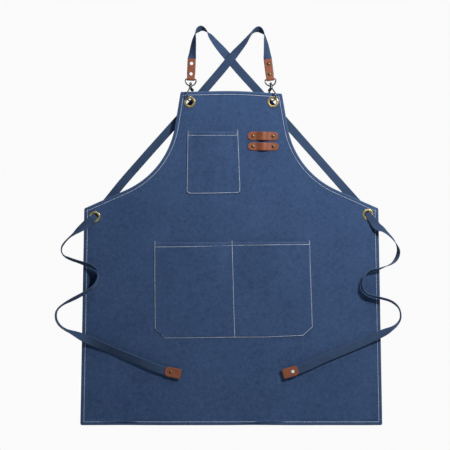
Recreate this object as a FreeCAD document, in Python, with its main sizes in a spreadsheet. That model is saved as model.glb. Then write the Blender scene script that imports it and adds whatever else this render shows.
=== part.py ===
"""A cross-back canvas work apron with leather and metal fittings, hanging by its shoulder straps.

Millimetres. +X is to the right as seen from the front, the front faces -Y, +Z is up. The origin is the point
the apron hangs from, level with the insides of the two shoulder loops and on the panel's middle plane.
Every driving size is a cell of the sheet "sizes".
"""
import math
import os

import FreeCAD
import Part
import Sketcher

V = FreeCAD.Vector
Rotation = FreeCAD.Rotation
Placement = FreeCAD.Placement
FRONT = V(0, -1, 0)
SIDES = (("left", -1), ("right", 1))

doc = FreeCAD.newDocument("apron")

# ---------------------------------------------------------------- driving sizes
SIZES = {
    "loop_rise": (145, "inside of the shoulder loops above the bib's top edge"),
    "panel_drop": (750, "bib's top edge to the bottom hem"),
    "bib_half": (114, "half the bib's top edge"),
    "waist_half": (331, "half the width at the waist corners"),
    "waist_drop": (262, "waist corners below the bib's top edge"),
    "skirt_half": (340, "half the bottom hem"),
    "armhole_corner_half": (144, "where the two straight edges of an armhole would meet, across"),
    "armhole_corner_drop": (179, "and below the bib's top edge"),
    "armhole_radius": (190, "curve between them"),
    "cloth": (1.2, "canvas of the panel"),
    "hem_thick": (2.8, "folded hem"),
    "hem_width": (9, "width of the hem"),
    "eyelet_hole_radius": (7.5, "clear hole in an eyelet"),
    "eyelet_barrel_radius": (8.3, "outside of the eyelet's barrel"),
    "eyelet_flange_radius": (12.7, "rim seen from the front"),
    "eyelet_flange_thick": (1.6, "rim's height off the cloth"),
    "eyelet_roll_radius": (9.8, "rolled edge at the back"),
    "eyelet_roll_thick": (0.8, "rolled edge at the back"),
    "washer_thick": (0.6, "washer under the rolled edge"),
    "bib_eyelet_half": (93.5, "bib eyelets from the middle"),
    "bib_eyelet_drop": (22.5, "below the bib's top edge"),
    "waist_eyelet_half": (307, "waist eyelets from the middle"),
    "waist_eyelet_drop_left": (280.5, "below the bib's top edge"),
    "waist_eyelet_drop_right": (275.5, "below the bib's top edge"),
    "webbing_width": (18.6, "strap webbing"),
    "webbing_thick": (1.6, "strap webbing"),
    "gathered_width": (11, "webbing gathered in an eyelet"),
    "gathered_thick": (2.2, "webbing gathered in an eyelet"),
    "split_gap": (0.3, "between the strap's end and the tie's start, in the eyelet"),
    "leather": (1.8, "tabs and tips"),
    "tab_width": (17.5, "strap tab"),
    "tab_height": (46, "from the D's bar to the tab's top"),
    "tab_rivet_low": (11.5, "above the D's bar"),
    "tab_rivet_high": (35, "above the D's bar"),
    "tip_width": (22, "tie tip"),
    "tip_length": (34, "tie tip"),
    "tip_corner_radius": (7, "tie tip"),
    "tip_rivet": (22, "above the tip's fold"),
    "cap_radius": (3.75, "rivet cap"),
    "cap_height": (1.7, "rivet cap"),
    "cap_rim": (0.5, "rivet cap's straight edge"),
    "post_radius": (1.3, "rivet post"),
    "post_head_radius": (3.6, "rivet post's head"),
    "post_head_thick": (0.8, "rivet post's head"),
    "wire_radius": (1.5, "hook and D wire"),
    "hook_radius": (12, "inside bend of the hook, to the wire's middle"),
    "hook_shank_radius": (1.8, "swivel shank"),
    "swivel_clearance": (0.08, "shank in the D's boss, pin in the trigger"),
    "boss_radius": (3.5, "D's swivel boss"),
    "boss_base": (31.5, "boss underside above the hook's bend"),
    "boss_height": (5, "swivel boss"),
    "d_bar_rise": (49, "D's bar above the hook's bend"),
    "d_half_width": (12, "D's sides from its middle"),
    "d_corner_radius": (3, "corners beside the bar"),
    "pin_radius": (0.8, "trigger pin"),
    "pin_length": (6, "trigger pin"),
    "pocket_cloth": (0.8, "pocket canvas"),
    "pocket_seam": (8, "flat seam allowance round a pocket"),
    "pocket_depth": (10.5, "room a pocket holds open at its mouth"),
    "tool_loop_thick": (2, "leather of the tool loops"),
    "tool_loop_arch": (7, "gap behind the middle of a tool loop"),
}

sheet = doc.addObject("Spreadsheet::Sheet", "sizes")
for row, (name, (value, note)) in enumerate(SIZES.items(), start=2):
    sheet.set(f"A{row}", name)
    sheet.set(f"B{row}", str(value))
    sheet.set(f"C{row}", note)
    sheet.setAlias(f"B{row}", name)
doc.recompute()


def cell(name):
    """A driving size, read from the sheet."""
    return float(getattr(sheet, name))


BIB_TOP = -cell("loop_rise")
HALF_CLOTH = cell("cloth") / 2
WEB = cell("webbing_thick")

nodes = []


def node(obj, label):
    """Give a finished sub-part its name and put it on the list of parts to write."""
    obj.Label = label
    nodes.append(obj)
    return obj


# ---------------------------------------------------------------- document objects
def primitive(kind, at=V(), turn=Rotation(), **bound):
    """A Part primitive whose sizes are expressions over the sheet."""
    obj = doc.addObject(f"Part::{kind}", kind)
    for prop, formula in bound.items():
        obj.setExpression(prop, formula)
    obj.Placement = Placement(at, turn)
    return obj


def fused(*pieces):
    """The pieces joined into one solid."""
    obj = doc.addObject("Part::MultiFuse", "joined")
    obj.Shapes = list(pieces)
    return obj


def cut(base, tool):
    """The base with the tool taken away."""
    obj = doc.addObject("Part::Cut", "cut")
    obj.Base = base
    obj.Tool = tool
    return obj


def group(pieces):
    """Several separate solids as one sub-part."""
    obj = doc.addObject("Part::Compound", "group")
    obj.Links = list(pieces)
    return obj


def feature(shape, placement=Placement()):
    """A shape made with Part's own functions, from sizes read from the sheet."""
    obj = doc.addObject("Part::Feature", "shaped")
    obj.Shape = shape
    obj.Placement = placement
    return obj


def rounded(base, radius, wanted):
    """The base with a radius on each edge that the test wants."""
    doc.recompute()
    obj = doc.addObject("Part::Fillet", "rounded")
    obj.Base = base
    edges = enumerate(base.Shape.Edges, start=1)
    obj.Edges = [(number, radius, radius) for number, edge in edges if wanted(edge)]
    return obj


# A cylinder stands along +Z. These turns lay it along the depth or the width.
ALONG_DEPTH = Rotation(V(1, 0, 0), -90)
ALONG_WIDTH = Rotation(V(0, 1, 0), 90)


def prism(outline, start, end):
    """A solid from an outline in the X-Z plane, between two depths."""
    points = [V(x, start, z) for x, z in outline]
    face = Part.Face(Part.makePolygon(points + points[:1]))
    return face.extrude(V(0, end - start, 0))


# ---------------------------------------------------------------- the canvas panel
def panel_outline():
    """The cut edge: a straight bib top, two armholes of line, arc and line, flaring sides, straight hem."""
    sketch = doc.addObject("Sketcher::SketchObject", "panel_outline")
    sketch.Placement = Placement(V(0, 0, BIB_TOP), Rotation(V(1, 0, 0), 90))

    def corner(x, drop, side):
        return V(side * cell(x), -drop, 0)

    def constrain_point(geometry, end, x, drop, side):
        """Hold a point at a distance each way from the middle of the bib's top edge."""
        across = (-1, 1, geometry, end) if side > 0 else (geometry, end, -1, 1)
        number = sketch.addConstraint(Sketcher.Constraint("DistanceX", *across, cell(x)))
        sketch.setExpression(f"Constraints[{number}]", f"sizes.{x}")
        if drop is None:
            sketch.addConstraint(Sketcher.Constraint("PointOnObject", geometry, end, -1))
            return
        down = Sketcher.Constraint("DistanceY", geometry, end, -1, 1, cell(drop))
        sketch.setExpression(f"Constraints[{sketch.addConstraint(down)}]", f"sizes.{drop}")

    ends = {}
    for name, side in SIDES:
        top = corner("bib_half", 0, side)
        waist = corner("waist_half", cell("waist_drop"), side)
        hem = corner("skirt_half", cell("panel_drop"), side)
        meet = corner("armhole_corner_half", cell("armhole_corner_drop"), side)
        up, out = (top - meet).normalize(), (waist - meet).normalize()
        half_angle = up.getAngle(out) / 2
        radius = cell("armhole_radius")
        leave, join = (meet + d * (radius / math.tan(half_angle)) for d in (up, out))
        centre = meet + (up + out).normalize() * (radius / math.sin(half_angle))
        first, last = (join, leave) if side > 0 else (leave, join)
        circle = Part.Circle(centre, V(0, 0, 1), radius)
        arc = Part.ArcOfCircle(circle, circle.parameter(leave), circle.parameter(join))
        if side < 0:
            arc = Part.ArcOfCircle(circle, circle.parameter(join), circle.parameter(leave))
        bib = sketch.addGeometry(Part.LineSegment(top, leave), False)
        curve = sketch.addGeometry(arc, False)
        slope = sketch.addGeometry(Part.LineSegment(join, waist), False)
        flank = sketch.addGeometry(Part.LineSegment(waist, hem), False)
        mark = sketch.addGeometry(Part.Point(meet), True)
        start, finish = (1, 2) if side > 0 else (2, 1)
        sketch.addConstraint(Sketcher.Constraint("Tangent", bib, 2, curve, start))
        sketch.addConstraint(Sketcher.Constraint("Tangent", curve, finish, slope, 1))
        sketch.addConstraint(Sketcher.Constraint("Coincident", slope, 2, flank, 1))
        bend = sketch.addConstraint(Sketcher.Constraint("Radius", curve, radius))
        sketch.setExpression(f"Constraints[{bend}]", "sizes.armhole_radius")
        constrain_point(bib, 1, "bib_half", None, side)
        constrain_point(slope, 2, "waist_half", "waist_drop", side)
        constrain_point(flank, 2, "skirt_half", "panel_drop", side)
        constrain_point(mark, 1, "armhole_corner_half", "armhole_corner_drop", side)
        sketch.addConstraint(Sketcher.Constraint("PointOnObject", mark, 1, bib))
        sketch.addConstraint(Sketcher.Constraint("PointOnObject", mark, 1, slope))
        ends[name] = (top, bib, hem, flank)
    for point_at, end in ((0, 1), (2, 2)):
        (a, a_line), (b, b_line) = (ends[name][point_at:point_at + 2] for name in ("left", "right"))
        closing_edge = sketch.addGeometry(Part.LineSegment(a, b), False)
        sketch.addConstraint(Sketcher.Constraint("Coincident", closing_edge, 1, a_line, end))
        sketch.addConstraint(Sketcher.Constraint("Coincident", closing_edge, 2, b_line, end))
    return sketch


def slab(outline, thickness):
    """An outline given an even thickness about the panel's middle plane."""
    obj = doc.addObject("Part::Extrusion", "slab")
    obj.Base = outline
    obj.DirMode = "Custom"
    obj.Dir = V(0, 1, 0)
    obj.Solid = True
    obj.Symmetric = True
    obj.setExpression("LengthFwd", thickness)
    return obj


def eyelet_places():
    """Each eyelet's name and centre. The waist's two are not quite level."""
    for name, side in SIDES:
        yield "bib", name, V(side * cell("bib_eyelet_half"), 0, BIB_TOP - cell("bib_eyelet_drop"))
        yield "waist", name, waist_eyelet(name, side)


def waist_eyelet(name, side):
    """Middle of a waist eyelet."""
    return V(side * cell("waist_eyelet_half"), 0, BIB_TOP - cell(f"waist_eyelet_drop_{name}"))


# Cutters for holes reach this far before and behind what they go through.
THROUGH = 6


def hole(at, radius):
    """A cutter for a hole from front to back: its radius is a formula over the sheet."""
    return primitive("Cylinder", at + V(0, -THROUGH, 0), ALONG_DEPTH, Radius=radius, Height=f"{2 * THROUGH}")


def rivet_holes(places):
    """Cutters for the rivets' posts."""
    return [hole(at, "sizes.post_radius") for at in places]


def make_panel(rivets):
    """The hemmed panel: thin canvas, a thicker folded rim, and holes for the eyelets and rivets."""
    outline = panel_outline()
    inside = doc.addObject("Part::Offset2D", "hem_line")
    inside.Source = outline
    inside.Join = "Intersection"
    inside.setExpression("Value", "-sizes.hem_width")
    hem = cut(slab(outline, "sizes.hem_thick"), slab(inside, "2 * sizes.hem_thick"))
    body = fused(slab(outline, "sizes.cloth"), hem)
    holes = [hole(at, "sizes.eyelet_barrel_radius") for _, _, at in eyelet_places()]
    return cut(body, fused(*holes, *rivet_holes(rivets)))


# ---------------------------------------------------------------- eyelets
EYELET_ROUNDING = 1.1
NEAR = 0.01


def make_eyelet(at):
    """A brass eyelet: a rounded rim in front, a barrel through the cloth and a rolled edge at the back."""
    rim = primitive(
        "Cylinder", at + V(0, -HALF_CLOTH - cell("eyelet_flange_thick"), 0), ALONG_DEPTH,
        Radius="sizes.eyelet_flange_radius", Height="sizes.eyelet_flange_thick",
    )
    barrel = primitive(
        "Cylinder", at + V(0, -HALF_CLOTH, 0), ALONG_DEPTH,
        Radius="sizes.eyelet_barrel_radius",
        Height="sizes.cloth + sizes.washer_thick + sizes.eyelet_roll_thick",
    )
    roll = primitive(
        "Cylinder", at + V(0, HALF_CLOTH + cell("washer_thick"), 0), ALONG_DEPTH,
        Radius="sizes.eyelet_roll_radius", Height="sizes.eyelet_roll_thick",
    )
    ring = cut(fused(rim, barrel, roll), hole(at, "sizes.eyelet_hole_radius"))
    front = -HALF_CLOTH - cell("eyelet_flange_thick")
    return rounded(ring, EYELET_ROUNDING, lambda edge: edge.BoundBox.YMax < front + NEAR)


def make_washer(at):
    """The washer that the eyelet is rolled over, on the back of the cloth."""
    disc = primitive(
        "Cylinder", at + V(0, HALF_CLOTH, 0), ALONG_DEPTH,
        Radius="sizes.eyelet_flange_radius", Height="sizes.washer_thick",
    )
    return cut(disc, hole(at, "sizes.eyelet_barrel_radius"))


# ---------------------------------------------------------------- rivets
# A rivet stands on the front face of what it holds, its axis along its own +Z.
FACING_FRONT = Rotation(V(1, 0, 0), 90)
FACING_BACK = Rotation(V(1, 0, 0), -90)


def rivet_cap():
    """A low domed cap standing on z = 0: a short rim under a slice of a sphere."""
    cap, rise, rim = cell("cap_radius"), cell("cap_height"), cell("cap_rim")
    crown = rise - rim
    ball = (cap * cap + crown * crown) / (2 * crown)
    half = math.asin(cap / ball) / 2
    middle = V(ball * math.sin(half), 0, rise - ball * (1 - math.cos(half)))
    face = Part.Face(Part.Wire([
        Part.LineSegment(V(0, 0, 0), V(cap, 0, 0)).toShape(),
        Part.LineSegment(V(cap, 0, 0), V(cap, 0, rim)).toShape(),
        Part.Arc(V(cap, 0, rim), middle, V(0, 0, rise)).toShape(),
        Part.LineSegment(V(0, 0, rise), V(0, 0, 0)).toShape(),
    ]))
    return face.revolve(V(), V(0, 0, 1), 360)


def rivet_caps(places):
    """One cap at each placement."""
    return group([feature(rivet_cap(), place) for place in places])


def rivet_posts(places, stack):
    """One post at each placement: its stem fills the hole through the stack, its flat head is behind."""
    posts = []
    for place in places:
        stem = primitive("Cylinder", V(0, 0, -stack), Radius="sizes.post_radius", Height=f"{stack}")
        head = primitive(
            "Cylinder", V(0, 0, -stack - cell("post_head_thick")),
            Radius="sizes.post_head_radius", Height="sizes.post_head_thick",
        )
        post = fused(stem, head)
        post.Placement = place
        posts.append(post)
    return group(posts)


# ---------------------------------------------------------------- pockets
# How far the cutter for a pocket's room stands out of its mouth, and behind it.
ABOVE_MOUTH, BEHIND = 4, 1


def pocket_bulge(left, right, top, bottom, taper_side, taper_foot):
    """The raised part of a pocket and the room inside it, as an outer and an inner wedge.

    Each is a rectangle on the panel that narrows to a smaller one in front, open at the top.
    """
    seam, cloth, depth = cell("pocket_seam"), cell("pocket_cloth"), cell("pocket_depth")
    left, right, bottom = left + seam, right - seam, bottom + seam
    solids = []
    for wall, above, behind in ((0, 0, 0), (cloth, ABOVE_MOUTH, BEHIND)):
        obj = doc.addObject("Part::Wedge", "bulge")
        obj.Ymin = -HALF_CLOTH - depth - cloth + wall
        obj.Ymax = -HALF_CLOTH + behind
        obj.X2min, obj.X2max = left + wall, right - wall
        obj.Z2min, obj.Z2max = bottom + wall, top + above
        obj.Xmin, obj.Xmax = left + wall + taper_side, right - wall - taper_side
        obj.Zmin, obj.Zmax = bottom + wall + taper_foot, top + above
        solids.append(obj)
    return solids


def make_pocket(outline, rooms, rivets):
    """A patch pocket: a flat seam allowance on the panel, with one bulge for each room, open on top."""
    cloth = cell("pocket_cloth")
    patch = feature(prism(outline, -HALF_CLOTH - cloth, -HALF_CLOTH))
    outer, inner = zip(*[pocket_bulge(*room) for room in rooms])
    return cut(fused(patch, *outer), fused(*inner, *rivet_holes(rivets)))


bib_pocket_outline = [(-100, -235), (16, -235), (21, -374.5), (-102, -374.5)]
bib_pocket_room = (-98.5, 14.5, -235, -374.5, 18, 50)
lower_pocket_outline = [
    (-173, -482), (177, -482), (180, -674), (160, -696), (-151, -699), (-172, -678),
]
lower_pocket_rooms = [(-173, 8, -482, -699, 26, 70), (0, 178, -482, -697, 26, 70)]


# ---------------------------------------------------------------- leather tool loops
# Flat leather left at each end of a loop for its rivet. The outer face spreads wider than the inner.
FLAT_END, SPREAD = 18, 2


def make_tool_loop(left, right, top, bottom, rivets):
    """A leather strip with round ends, flat under its rivets and arched between them."""
    thick, arch, back = cell("tool_loop_thick"), cell("tool_loop_arch"), -HALF_CLOTH
    middle, half = (left + right) / 2, (right - left) / 2
    reach = half - FLAT_END
    radius = (top - bottom) / 2
    level = (top + bottom) / 2

    def arched(depth, spread):
        """One face of the strip, seen from above."""
        return [
            V(middle - half, depth, bottom), V(middle - spread, depth, bottom),
            V(middle, depth - arch, bottom),
            V(middle + spread, depth, bottom), V(middle + half, depth, bottom),
        ]

    b, f = arched(back, reach), arched(back - thick, reach + SPREAD)
    edges = [
        Part.LineSegment(b[0], b[1]), Part.Arc(b[1], b[2], b[3]), Part.LineSegment(b[3], b[4]),
        Part.LineSegment(b[4], f[4]), Part.LineSegment(f[4], f[3]), Part.Arc(f[3], f[2], f[1]),
        Part.LineSegment(f[1], f[0]), Part.LineSegment(f[0], b[0]),
    ]
    strip = Part.Face(Part.Wire([e.toShape() for e in edges])).extrude(V(0, 0, top - bottom))
    l_in, r_in, start = left + radius, right - radius, -arch - 4 * thick
    rim = [
        Part.LineSegment(V(l_in, start, top), V(r_in, start, top)),
        Part.Arc(V(r_in, start, top), V(right, start, level), V(r_in, start, bottom)),
        Part.LineSegment(V(r_in, start, bottom), V(l_in, start, bottom)),
        Part.Arc(V(l_in, start, bottom), V(left, start, level), V(l_in, start, top)),
    ]
    stadium = Part.Face(Part.Wire([e.toShape() for e in rim])).extrude(V(0, -start, 0))
    return cut(feature(strip.common(stadium)), fused(*rivet_holes(rivets)))


tool_loops = {
    "upper": dict(left=36.5, right=106, top=-234.5, bottom=-254),
    "lower": dict(left=37, right=106.5, top=-258.5, bottom=-276.5),
}
TOOL_RIVET_INSET = 12


def tool_loop_rivets(loop):
    """Where a loop's two rivets go through the panel."""
    level = (loop["top"] + loop["bottom"]) / 2
    return [V(x, 0, level) for x in (loop["left"] + TOOL_RIVET_INSET, loop["right"] - TOOL_RIVET_INSET)]


pocket_rivets = [V(-95, 0, -240), V(11, 0, -240), V(-168, 0, -488), V(172, 0, -488)]
loop_rivets = [at for loop in tool_loops.values() for at in tool_loop_rivets(loop)]

node(make_panel(pocket_rivets + loop_rivets), "apron_panel")
node(make_pocket(bib_pocket_outline, [bib_pocket_room], pocket_rivets[:2]), "bib_pocket")
node(make_pocket(lower_pocket_outline, lower_pocket_rooms, pocket_rivets[2:]), "lower_pocket")
for name, loop in tool_loops.items():
    node(make_tool_loop(**loop, rivets=tool_loop_rivets(loop)), f"tool_loop_{name}")

for label, places, layer in (
    ("tool_loop", loop_rivets, "tool_loop_thick"),
    ("pocket", pocket_rivets, "pocket_cloth"),
):
    front = V(0, -HALF_CLOTH - cell(layer), 0)
    stands = [Placement(at + front, FACING_FRONT) for at in places]
    node(rivet_caps(stands), f"{label}_rivet_caps")
    node(rivet_posts(stands, cell("cloth") + cell(layer)), f"{label}_rivet_posts")

for level, name, at in eyelet_places():
    node(make_eyelet(at), f"{level}_eyelet_{name}")
    node(make_washer(at), f"{level}_eyelet_washer_{name}")


# ---------------------------------------------------------------- webbing
def ribbon(stations, turn, start_way, end_way):
    """A flat band along a route, as a ruled solid.

    A station is (x, y, z, twist, width, thickness). At twist 0 the band's face is to the front. At 90 the
    band stands on edge. turn says which side of the route the near edge leans to: 1 left, -1 right.
    """
    points = [V(*s[:3]) for s in stations]
    last = len(points) - 1
    sections = []
    for i, (centre, (_, _, _, twist, width, thick)) in enumerate(zip(points, stations)):
        course = points[min(i + 1, last)] - points[max(i - 1, 0)]
        way = V({0: start_way, last: end_way}.get(i, course)).normalize()
        lean = V(-course.z, 0, course.x).normalize() * turn
        twist = math.radians(twist)
        across = lean * math.cos(twist) + FRONT * math.sin(twist)
        across = (across - way * across.dot(way)).normalize()
        a, b = across * (width / 2), way.cross(across) * (thick / 2)
        corners = [centre + a + b, centre - a + b, centre - a - b, centre + a - b]
        sections.append(Part.makePolygon(corners + corners[:1]))
    return Part.makeLoft(sections, True, True)


WEB_WIDTH = cell("webbing_width")
GATHERED = cell("gathered_width")

# The webbing narrows as it comes to a waist eyelet. Each place is a distance from the eyelet's middle, the
# webbing's depth there and its width.
BEHIND_EYELET = (
    (45, 8, WEB_WIDTH), (22, 4.6, WEB_WIDTH - 1), (12, 3.8, WEB_WIDTH - 4), (6.5, 3.6, GATHERED + 2),
    (3, 2.3, GATHERED),
)
BEFORE_EYELET = (
    (3, -1.9, GATHERED), (6.5, -3.7, GATHERED + 2), (12, -4.1, WEB_WIDTH - 4), (20, -4.4, WEB_WIDTH - 1),
)


# Where the two leaves of leather come together, above a bar or above a plain fold.
BAR_THROAT, FOLD_THROAT = 7, 1


def folded_leather(width, height, bar, corner):
    """Leather folded double about its own foot, round a bar if there is one, the fold's axis along X.

    z = 0 is the bar's middle, or the foot's inside.
    """
    skin = cell("leather")
    near = WEB / 2
    far = near + skin
    ring, throat = (bar, BAR_THROAT) if bar else (near, FOLD_THROAT)
    z0 = 0 if bar else ring
    wall = [
        Part.LineSegment(V(0, -far, height), V(0, -far, throat)),
        Part.LineSegment(V(0, -far, throat), V(0, -ring - skin, z0)),
        Part.Arc(V(0, -ring - skin, z0), V(0, 0, z0 - ring - skin), V(0, ring + skin, z0)),
        Part.LineSegment(V(0, ring + skin, z0), V(0, far, throat)),
        Part.LineSegment(V(0, far, throat), V(0, far, height)),
        Part.LineSegment(V(0, far, height), V(0, near, height)),
        Part.LineSegment(V(0, near, height), V(0, near, throat)),
        Part.LineSegment(V(0, near, throat), V(0, ring, z0)),
        Part.Arc(V(0, ring, z0), V(0, 0, z0 - ring), V(0, -ring, z0)),
        Part.LineSegment(V(0, -ring, z0), V(0, -near, throat)),
        Part.LineSegment(V(0, -near, throat), V(0, -near, height)),
        Part.LineSegment(V(0, -near, height), V(0, -far, height)),
    ]
    edges = [e.toShape() for e in wall if e.length() > 1e-6]
    skin_solid = Part.Face(Part.Wire(edges)).extrude(V(width, 0, 0))
    skin_solid.translate(V(-width / 2, 0, 0))
    room = 10
    blank = Part.makeBox(width, 2 * room, height + room, V(-width / 2, -room, -room))
    tops = [e for e in blank.Edges if e.BoundBox.ZMin > height - NEAR and e.BoundBox.YLength > room]
    return skin_solid.common(blank.makeFillet(corner, tops))


def along(frame, *points):
    """Points given in a frame, in the part's own."""
    return [frame.multVec(p) for p in points]


# Each chain of hook, D and tab hangs in a line, which leans a little: how far the hook's bend is below the
# top of the eyelet's hole, and the lean of its upper end towards +X, in degrees.
CHAINS = {
    "left": dict(side=-1, seat=5.0, lean=2.8, corner=1.5, cap_turn=FACING_BACK),
    "right": dict(side=1, seat=5.0, lean=-7.0, corner=4.0, cap_turn=FACING_FRONT),
}
HOOK_TURN = 36
STRAP_END_RISE = 10


def chain_frame(side, seat, lean, **_):
    """Origin at the hook's bend in the eyelet, +Z up the chain."""
    hole_top = BIB_TOP - cell("bib_eyelet_drop") + cell("eyelet_hole_radius")
    at = V(side * cell("bib_eyelet_half"), 0, hole_top - seat)
    return Placement(at, Rotation(V(0, 1, 0), lean))


# The webbing leaves its tab the other way round from the way it reaches the waist: it turns as it goes over.
FLIPPED = 180

# Routes of the shoulder straps, by hand: x, depth, height and twist. Each goes from its tab up and over its
# loop, down behind the bib and the other strap, and on to the waist eyelet of the other side.
STRAP_ROUTES = {
    "left": [
        (-87.6, 0.2, -60.5, 153), (-86.2, 0.4, -48, 138), (-84.9, 0.9, -36.4, 127), (-83.2, 1.9, -23.4, 112),
        (-80.9, 3.6, -11.6, 90), (-75.8, 5.2, -4.9, 66), (-69.1, 6.8, -1.2, 56), (-62, 8.4, -2.8, 72),
        (-55.6, 9.8, -7.6, 80), (-49.1, 11, -15.2, 71), (-38.4, 12.4, -28.7, 52), (-32, 13, -36.5, 41),
        (-25.3, 13.6, -44.1, 31), (-17.8, 14.5, -52.7, 18), (-3.5, 15.6, -69.3, 4), (16.3, 16.2, -92.7, 0),
        (46.8, 16.8, -126.5, 0), (93.8, 17.4, -179.1, 0), (199.3, 12.5, -298.5, 9), (246.8, 9.5, -352.7, 5),
    ],
    "right": [
        (80.9, 0.2, -61, 153), (79.7, 0.4, -49, 136), (78.7, 0.8, -39.4, 126), (76.9, 1.6, -27, 111),
        (74.6, 3, -14.8, 92), (68.7, 4.4, -7.2, 66), (62, 5.8, -3.3, 51), (54.8, 7, -5, 66),
        (48, 8, -9.3, 80), (40.6, 8.8, -17.5, 76), (31.9, 9.7, -29.5, 60), (25.9, 10.2, -37, 52),
        (19.7, 10.6, -44.2, 44), (12.4, 11, -52.6, 33), (2.5, 11.5, -64.5, 12), (-3.7, 11.9, -71.7, 4),
        (-21.2, 12.9, -93, 6), (-50.1, 14.2, -126.7, 4), (-87.9, 15.4, -170.3, 0), (-201.6, 12, -298.5, 9),
        (-248.6, 9.5, -352.7, 5),
    ],
}


def make_strap(name, chain, frame):
    """One shoulder strap, from inside its tab to the middle of the far waist eyelet's hole."""
    bar = cell("d_bar_rise")
    start, top = along(frame, V(0, 0, bar + STRAP_END_RISE), V(0, 0, bar + cell("tab_height")))
    far = {"left": "right", "right": "left"}[name]
    eye = waist_eyelet(far, -chain["side"])
    route = STRAP_ROUTES[name]
    last = V(*route[-1][:3])
    way = V(eye.x - last.x, 0, eye.z - last.z).normalize()
    stations = [(*start, FLIPPED, WEB_WIDTH, WEB), (*top, FLIPPED, WEB_WIDTH, WEB)]
    stations += [(*point, WEB_WIDTH, WEB) for point in route]
    for distance, depth, width in BEHIND_EYELET:
        at = eye - way * distance
        stations.append((at.x, depth, at.z, 0, width, WEB))
    stations.append((eye.x, cell("split_gap") / 2, eye.z, 0, GATHERED, cell("gathered_thick")))
    return ribbon(stations, -chain["side"], frame.Rotation.multVec(V(0, 0, 1)), FRONT)


# Routes of the ties in front, by hand: x, height and twist, from the waist eyelet outwards and down, in two
# loose loops, to the tip. The band's back edge stays just in front of the panel.
TIE_ROUTES = {
    "left": [
        (-330.4, -446, 20), (-345.6, -458.2, 56), (-352.9, -464, 72), (-361.2, -470.5, 79),
        (-368.8, -477.8, 80), (-374.7, -484.7, 78), (-379.5, -492.3, 78), (-380.6, -504.5, 81),
        (-373.4, -514.5, 78), (-365.1, -518.6, 72), (-356.5, -522, 70), (-345, -525.9, 69),
        (-331.9, -530.3, 64), (-311, -538.3, 58), (-298, -548.2, 62), (-294, -560.6, 70),
        (-297, -573.5, 72), (-306, -583.5, 68), (-321.9, -594, 64), (-340.9, -603.3, 62),
        (-353, -609.3, 62), (-364.8, -615.4, 66), (-375.8, -621.5, 72), (-385.8, -629.3, 71),
        (-391.5, -637, 69), (-393.5, -646.4, 71), (-391.5, -658.5, 71), (-384.7, -669.2, 70),
        (-371.2, -679.1, 68), (-360.4, -683.8, 60), (-349.4, -688.8, 46), (-330.3, -698.1, 26),
        (-289.6, -715.6, 25), (-214.7, -746.5, 17),
    ],
    "right": [
        (328.4, -448, 20), (340.5, -455, 55), (347.7, -460.8, 69), (355.2, -467.8, 77),
        (363.8, -477.4, 82), (370.3, -487.8, 86), (374.7, -501.5, 64), (373.4, -511.7, 55),
        (367.3, -523.8, 60), (360.9, -530.1, 81), (352.5, -534.6, 83), (342.2, -538.5, 81),
        (332.7, -542.2, 76), (307.9, -551.2, 68), (295.9, -561.4, 70), (291.4, -574.5, 76),
        (293.9, -588.5, 78), (302.8, -598, 76), (319.8, -604.4, 74), (330.3, -607, 73),
        (341.2, -609.7, 73), (351.5, -612.7, 71), (361.4, -617.2, 71), (369.1, -623, 72),
        (375.1, -630, 72), (379.4, -643.3, 76), (378.3, -656.5, 72), (370.1, -668.4, 67),
        (357.7, -677.7, 57), (349.8, -682.1, 40), (337.3, -688.1, 24), (316.5, -697.5, 14),
        (283.5, -712.6, 8), (211.7, -742.5, 4),
    ],
}
TIE_TIPS = {"left": dict(foot=V(-115, -5.6, -779), lean=-78), "right": dict(foot=V(117, -5.6, -779), lean=74)}


def tie_depth(twist):
    """How far forward the band's middle is, so that its back edge clears the panel and its hem."""
    clear, least = 3.2, 5.2
    return -max(least, clear + WEB_WIDTH / 2 * math.sin(math.radians(twist)))


def make_tie(name, side, tip):
    """The free end of a strap, in front: gathered in the waist eyelet's hole, flat at the tip."""
    eye = waist_eyelet(name, side)
    route = TIE_ROUTES[name]
    way = V(route[0][0] - eye.x, 0, route[0][1] - eye.z).normalize()
    stations = [(eye.x, -cell("split_gap") / 2, eye.z, 0, GATHERED, cell("gathered_thick"))]
    for distance, depth, width in BEFORE_EYELET:
        at = eye + way * distance
        stations.append((at.x, depth, at.z, 0, width, WEB))
    stations += [(x, tie_depth(twist), z, twist, WEB_WIDTH, WEB) for x, z, twist in route]
    mouth, end = along(tip, V(0, 0, cell("tip_length")), V(0, 0, 1))
    stations += [(*mouth, 0, WEB_WIDTH, WEB), (*end, 0, WEB_WIDTH, WEB)]
    return ribbon(stations, -side, FRONT, tip.Rotation.multVec(V(0, 0, -1)))


# ---------------------------------------------------------------- hook, D and trigger
def rod(path, radius):
    """A round bar along a smooth path."""
    wire = Part.Wire([edge.toShape() for edge in path])
    first = wire.OrderedEdges[0]
    at = wire.OrderedVertexes[0].Point
    way = first.tangentAt(first.FirstParameter)
    ring = Part.Wire(Part.Circle(at, way, radius).toShape())
    return wire.makePipeShell([ring], True, True)


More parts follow.
